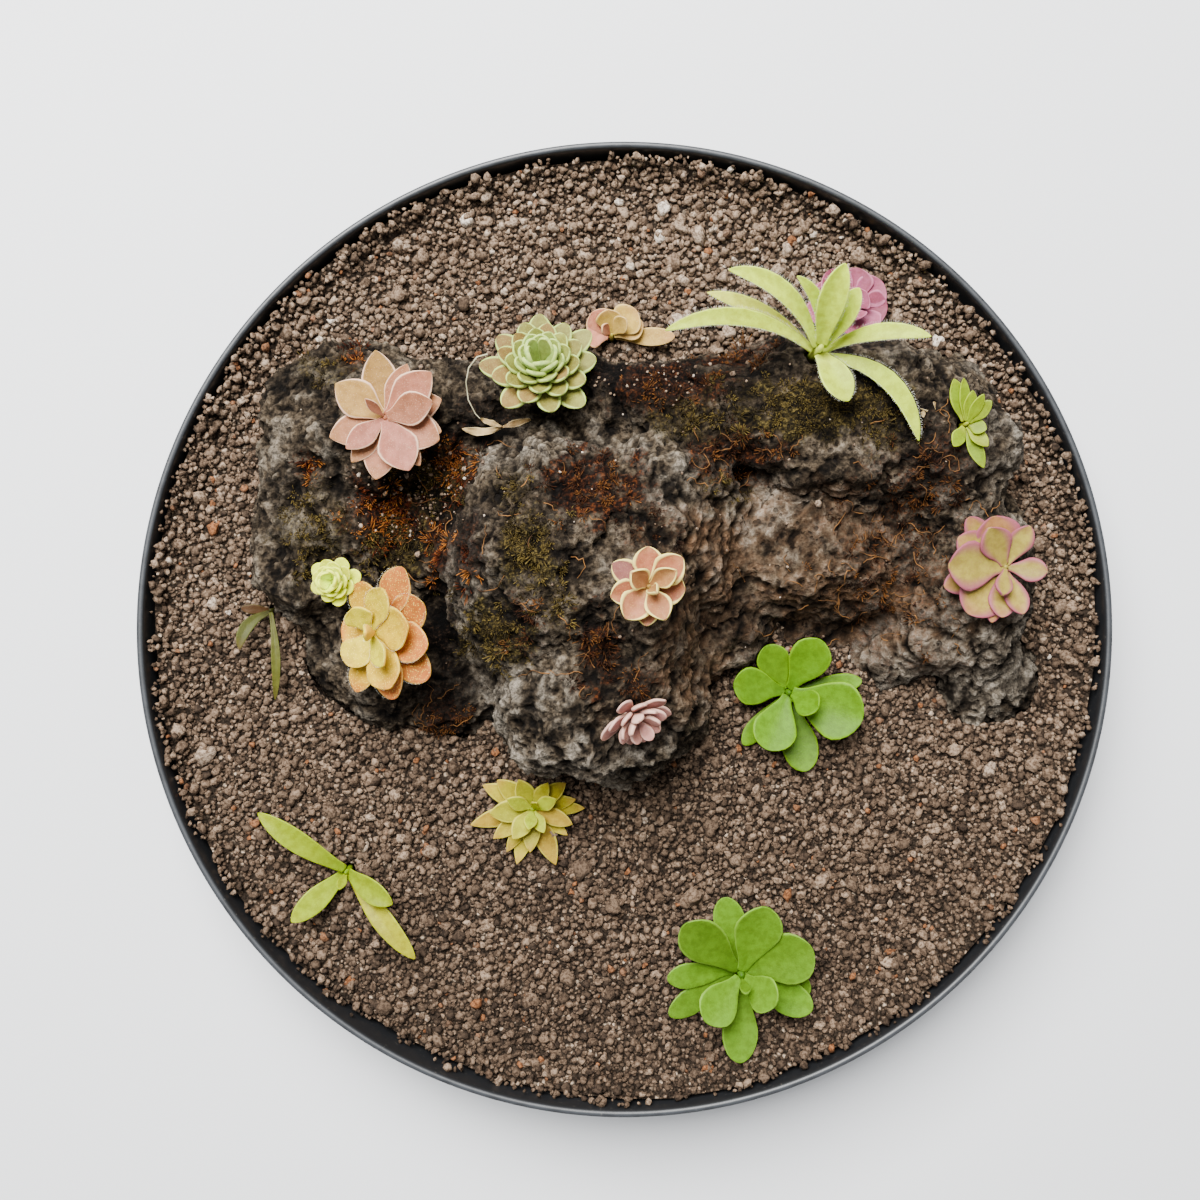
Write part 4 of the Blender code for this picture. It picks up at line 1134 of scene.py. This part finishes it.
def strew(ground, rock, spacing, size, share, tone, dice):
    """Grains of one size over the bed, heaped up here and there along the dish's wall."""
    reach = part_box("substrate")[1].x / MM
    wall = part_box("dish")[1].x / MM - LIP
    steps = int(reach / spacing) + 1
    copies = []
    for column in range(-steps, steps + 1):
        for row in range(-steps, steps + 1):
            if dice.random() > share:
                continue
            x = (column + dice.uniform(-0.5, 0.5) + 0.5 * (row % 2)) * spacing
            y = (row + dice.uniform(-0.5, 0.5)) * spacing
            grain = size * dice.lognormvariate(0.0, 0.22)
            out = math.hypot(x, y)
            if out > wall - grain / 2:
                continue
            start = Vector((x * MM, y * MM, SKY)) * min(1.0, (reach - 0.5) / max(out, 1.0))
            start.z = SKY
            hit = ground.ray_cast(start, -UP)[0]
            stone = rock.ray_cast(start, -UP)[0]
            if hit is None or (stone is not None and stone.z > hit.z - 1.0 * MM):
                continue
            heap = 8.0 * noise.noise(Vector((x, y, 9.0)) / 6.0) + 3.4
            if heap < 0.6 and out > reach - 1.6:
                continue
            heap = min(heap, GRAIN_TOP - hit.z / MM) * clamp((out - reach + HEAP_REACH) / 4.0)
            hit = Vector((x * MM, y * MM, hit.z))
            sunk = dice.uniform(-0.15, 0.40) * grain * MM + max(0.0, heap) * dice.uniform(0.3, 1.0) * MM
            stretch = sizes(grain * dice.uniform(0.8, 1.25), grain * dice.uniform(0.8, 1.2), grain * 0.85)
            place = Matrix.Translation(hit + UP * sunk) @ random_turn(dice) @ stretch
            # Tone drifts in broad patches and darkens steadily towards the front of the dish, at low y
            patch = 0.12 * noise.noise(Vector((x, y, 0)) / 22.0) + 0.0011 * y - 0.05
            shade = clamp(dice.gauss(tone + patch, 0.17))
            copies.append((dice.randrange(PATTERNS), place, shade, dice.random()))
    return copies


# Operators, one for each piece or group of like pieces

class BUTTERWORT_OT_stage(bpy.types.Operator):
    """Lays the floor, hangs the soft lights and sets the camera straight above the dish"""
    bl_idname = "butterwort.stage"
    bl_label = "Stage"

    def execute(self, context):
        look = context.scene.stage_look
        bm = bmesh.new()
        bmesh.ops.create_grid(bm, x_segments=1, y_segments=1, size=FLOOR_HALF)
        floor = bpy.data.objects.new("floor", mesh_from("floor", bm))
        context.scene.collection.objects.link(floor)
        floor.data.materials.append(painted_floor(look))
        for name, place, size, power in LIGHTS:
            lamp = bpy.data.lights.new(name, "AREA")
            lamp.size = size
            lamp.energy = power
            lamp.color = (1.0, 0.99, 0.97)
            light = bpy.data.objects.new(name, lamp)
            context.scene.collection.objects.link(light)
            light.location = place
            light.rotation_euler = (-Vector(place)).to_track_quat("-Z", "Y").to_euler()
        world = bpy.data.worlds.new("Soft room")
        context.scene.world = world
        world.use_nodes = True
        sky = world.node_tree.nodes["Background"].inputs
        sky["Color"].default_value = rgba("#f1f3f6")
        sky["Strength"].default_value = ROOM_STRENGTH
        lens = bpy.data.cameras.new("camera")
        camera = bpy.data.objects.new("camera", lens)
        context.scene.collection.objects.link(camera)
        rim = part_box("dish")[1].z
        lens.sensor_width = SENSOR
        lens.lens = SENSOR * (look.height - rim) / look.view
        lens.clip_start = 0.01
        camera.location = (*CAMERA_PLACE, look.height)
        context.scene.camera = camera
        return {"FINISHED"}


class BUTTERWORT_OT_dish(bpy.types.Operator):
    """Spins the moulded dish"""
    bl_idname = "butterwort.dish"
    bl_label = "Dish"

    def execute(self, context):
        look = context.scene.dish_look
        finish_piece("moulded_dish", turned_dish(look), moulded_plastic(look), ["dish"])
        return {"FINISHED"}


class BUTTERWORT_OT_rock(bpy.types.Operator):
    """Weathers the lava rock"""
    bl_idname = "butterwort.rock"
    bl_label = "Lava rock"

    def execute(self, context):
        look = context.scene.rock_look
        mesh = lava_mesh(look)
        weather_rock(mesh, look)
        finish_piece("weathered_lava", mesh, lava_stone(look), ["lava_rock"])
        return {"FINISHED"}


class BUTTERWORT_OT_grit(bpy.types.Operator):
    """Strews the grains of the bed over its solid"""
    bl_idname = "butterwort.grit"
    bl_label = "Grit"

    def execute(self, context):
        look = context.scene.grit_look
        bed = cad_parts["substrate"]
        bed.data.materials.clear()
        bed.data.materials.append(soil_bed(look))
        ground = surface(bed.data)
        rock = surface(bpy.data.objects["weathered_lava"].data)
        finish = grit_grain(look)
        dice = random.Random(4)
        for kind, size, fineness, share, tone in GRAINS:
            name = kind + "_grains"
            patterns = [stone_pattern(seed, fineness, 0.8) for seed in range(PATTERNS)]
            copies = strew(ground, rock, getattr(look, kind) / MM, size, share, tone, dice)
            back = [copy for copy in copies if copy[1].translation.y > 0]
            front = [copy for copy in copies if copy[1].translation.y <= 0]
            for half, chosen in (("_back", back), ("_front", front)):
                mesh = scatter(name + half, patterns, chosen)
                finish_piece(name + half, mesh, finish)
        return {"FINISHED"}


class BUTTERWORT_OT_moss(bpy.types.Operator):
    """Grows dry and living moss in tufts on the rock and lays dead roots over it"""
    bl_idname = "butterwort.moss"
    bl_label = "Moss and dead roots"

    def execute(self, context):
        look = context.scene.moss_look
        rock = surface(bpy.data.objects["weathered_lava"].data)
        dice = random.Random(9)
        fibre = look.fibre / MM
        for name, patches, count, size, bends, finish in (
            ("rust_moss", RUST_MOSS, 130, 0.9, 2, mossy("Dry rust moss", "#260e06", "#6f2f10", "#c97f35")),
            ("brown_moss", BROWN_MOSS, 230, 0.8, 2, mossy("Dry red-brown moss", "#1a0e08", "#472713", "#8c5a2a")),
            ("olive_moss", GREEN_MOSS, 560, 0.62, 1, mossy("Living olive moss", "#1a160c", "#463b1d", "#86733a")),
        ):
            copies = tufts(rock, patches, count, fibre * size, dice)
            finish_piece(name, scatter(name, [fibre_pattern(3, bends, 0.5)], copies), finish)
        paths = [thread_path(rock, patch, dice) for patch in ROOTS for _ in range(int(patch.strength))]
        mesh = thread_mesh("dead_roots", [path for path in paths if len(path) > 3], 0.30)
        finish_piece("dead_roots", mesh, dry_fibre("Dead root", "#2e1b0e", "#8f6234"))
        stalk = [Vector(place) * MM for place in STALK]
        mesh = thread_mesh("dry_stalk", [stalk], 0.6)
        finish_piece("dry_stalk", mesh, dry_fibre("Dry stalk", "#8a8468", "#b5ae90"))
        return {"FINISHED"}


class BUTTERWORT_OT_crumbs(bpy.types.Operator):
    """Drops pale crumbs in the rock's hollows and on its top"""
    bl_idname = "butterwort.crumbs"
    bl_label = "Crumbs"

    def execute(self, context):
        rock = surface(bpy.data.objects["weathered_lava"].data)
        dice = random.Random(21)
        patterns = [stone_pattern(seed, 1, 0.5) for seed in range(CRUMB_PATTERNS)]
        copies = []
        for patch in CRUMBS:
            for _ in range(patch.strength):
                x = dice.gauss(patch.x, patch.across * 0.6)
                y = dice.gauss(patch.y, patch.along * 0.6)
                hit, normal, _, _ = drop(rock, x, y)
                if hit is None or hit.z < CRUMB_FLOOR or normal.z < 0.5:
                    continue
                size = 0.7 * dice.lognormvariate(0, 0.45)
                place = Matrix.Translation(hit + UP * 0.15 * MM) @ random_turn(dice) @ sizes(size, size, size)
                pattern = dice.randrange(CRUMB_PATTERNS)
                shade = min(1.0, dice.gauss(0.62, 0.2))
                copies.append((pattern, place, shade, dice.random()))
        finish_piece("pale_crumbs", scatter("pale_crumbs", patterns, copies),
                     bpy.data.materials[GRIT_FINISH])
        return {"FINISHED"}


class BUTTERWORT_OT_rosettes(bpy.types.Operator):
    """Grows all the butterworts, leaf by leaf"""
    bl_idname = "butterwort.rosettes"
    bl_label = "Butterworts"

    def execute(self, context):
        look = context.scene.leaf_look
        dice = random.Random(33)
        bristle = [fibre_pattern(3, 1, 0.0)]
        hair = pale_hair()
        for plant in PLANTS:
            flesh = FLESH[plant.name]
            mesh, ribs = rosette(plant, look)
            finish = leaf_flesh("Butterwort leaf, " + plant.name.replace("_", " "), flesh, look)
            finish_piece("leaves_" + plant.name, mesh, finish, ["butterwort_" + plant.name])
            if flesh.hair:
                copies = rim_hairs(plant, ribs, 0.45, dice)
                finish_piece("hairs_" + plant.name, scatter("hairs", bristle, copies), hair)
        return {"FINISHED"}


class BUTTERWORT_OT_sprouts(bpy.types.Operator):
    """Lays withered leaves and sets a seedling on the rock"""
    bl_idname = "butterwort.sprouts"
    bl_label = "Withered leaves and seedling"

    def execute(self, context):
        look = context.scene.leaf_look
        for number, plant in enumerate(SPROUTS):
            finish = leaf_flesh(plant.name.capitalize() + " leaf", FLESH[plant.name], look)
            finish_piece(f"{plant.name}_{number}", rosette(plant, look)[0], finish)
        return {"FINISHED"}


class BUTTERWORT_PT_panel(bpy.types.Panel):
    """Lists the dish's pieces in the order in which they are made"""
    bl_idname = "BUTTERWORT_PT_panel"
    bl_label = "Butterwort dish"
    bl_space_type = "VIEW_3D"
    bl_region_type = "UI"
    bl_category = "Butterworts"

    def draw(self, context):
        for operator in OPERATORS:
            self.layout.operator(operator.bl_idname)
        for group in LOOKS:
            look = getattr(context.scene, group)
            box = self.layout.box()
            for name in look.bl_rna.properties.keys():
                if name not in ("rna_type", "name"):
                    box.prop(look, name)


LOOKS = {
    "dish_look": DishLook, "grit_look": GritLook, "rock_look": RockLook, "moss_look": MossLook,
    "leaf_look": LeafLook, "stage_look": StageLook,
}
OPERATORS = (
    BUTTERWORT_OT_stage, BUTTERWORT_OT_dish, BUTTERWORT_OT_rock, BUTTERWORT_OT_grit, BUTTERWORT_OT_moss,
    BUTTERWORT_OT_crumbs, BUTTERWORT_OT_rosettes, BUTTERWORT_OT_sprouts,
)


def register():
    for kind in (*LOOKS.values(), *OPERATORS, BUTTERWORT_PT_panel):
        bpy.utils.register_class(kind)
    for name, kind in LOOKS.items():
        setattr(bpy.types.Scene, name, PointerProperty(type=kind))


def unregister():
    for name in LOOKS:
        delattr(bpy.types.Scene, name)
    for kind in (BUTTERWORT_PT_panel, *reversed(OPERATORS), *LOOKS.values()):
        bpy.utils.unregister_class(kind)


def main():
    register()
    bpy.ops.butterwort.stage()
    bpy.ops.butterwort.dish()
    bpy.ops.butterwort.rock()
    bpy.ops.butterwort.grit()
    bpy.ops.butterwort.moss()
    bpy.ops.butterwort.crumbs()
    bpy.ops.butterwort.rosettes()
    bpy.ops.butterwort.sprouts()
    bpy.context.view_layer.update()


if __name__ == "__main__":
    main()
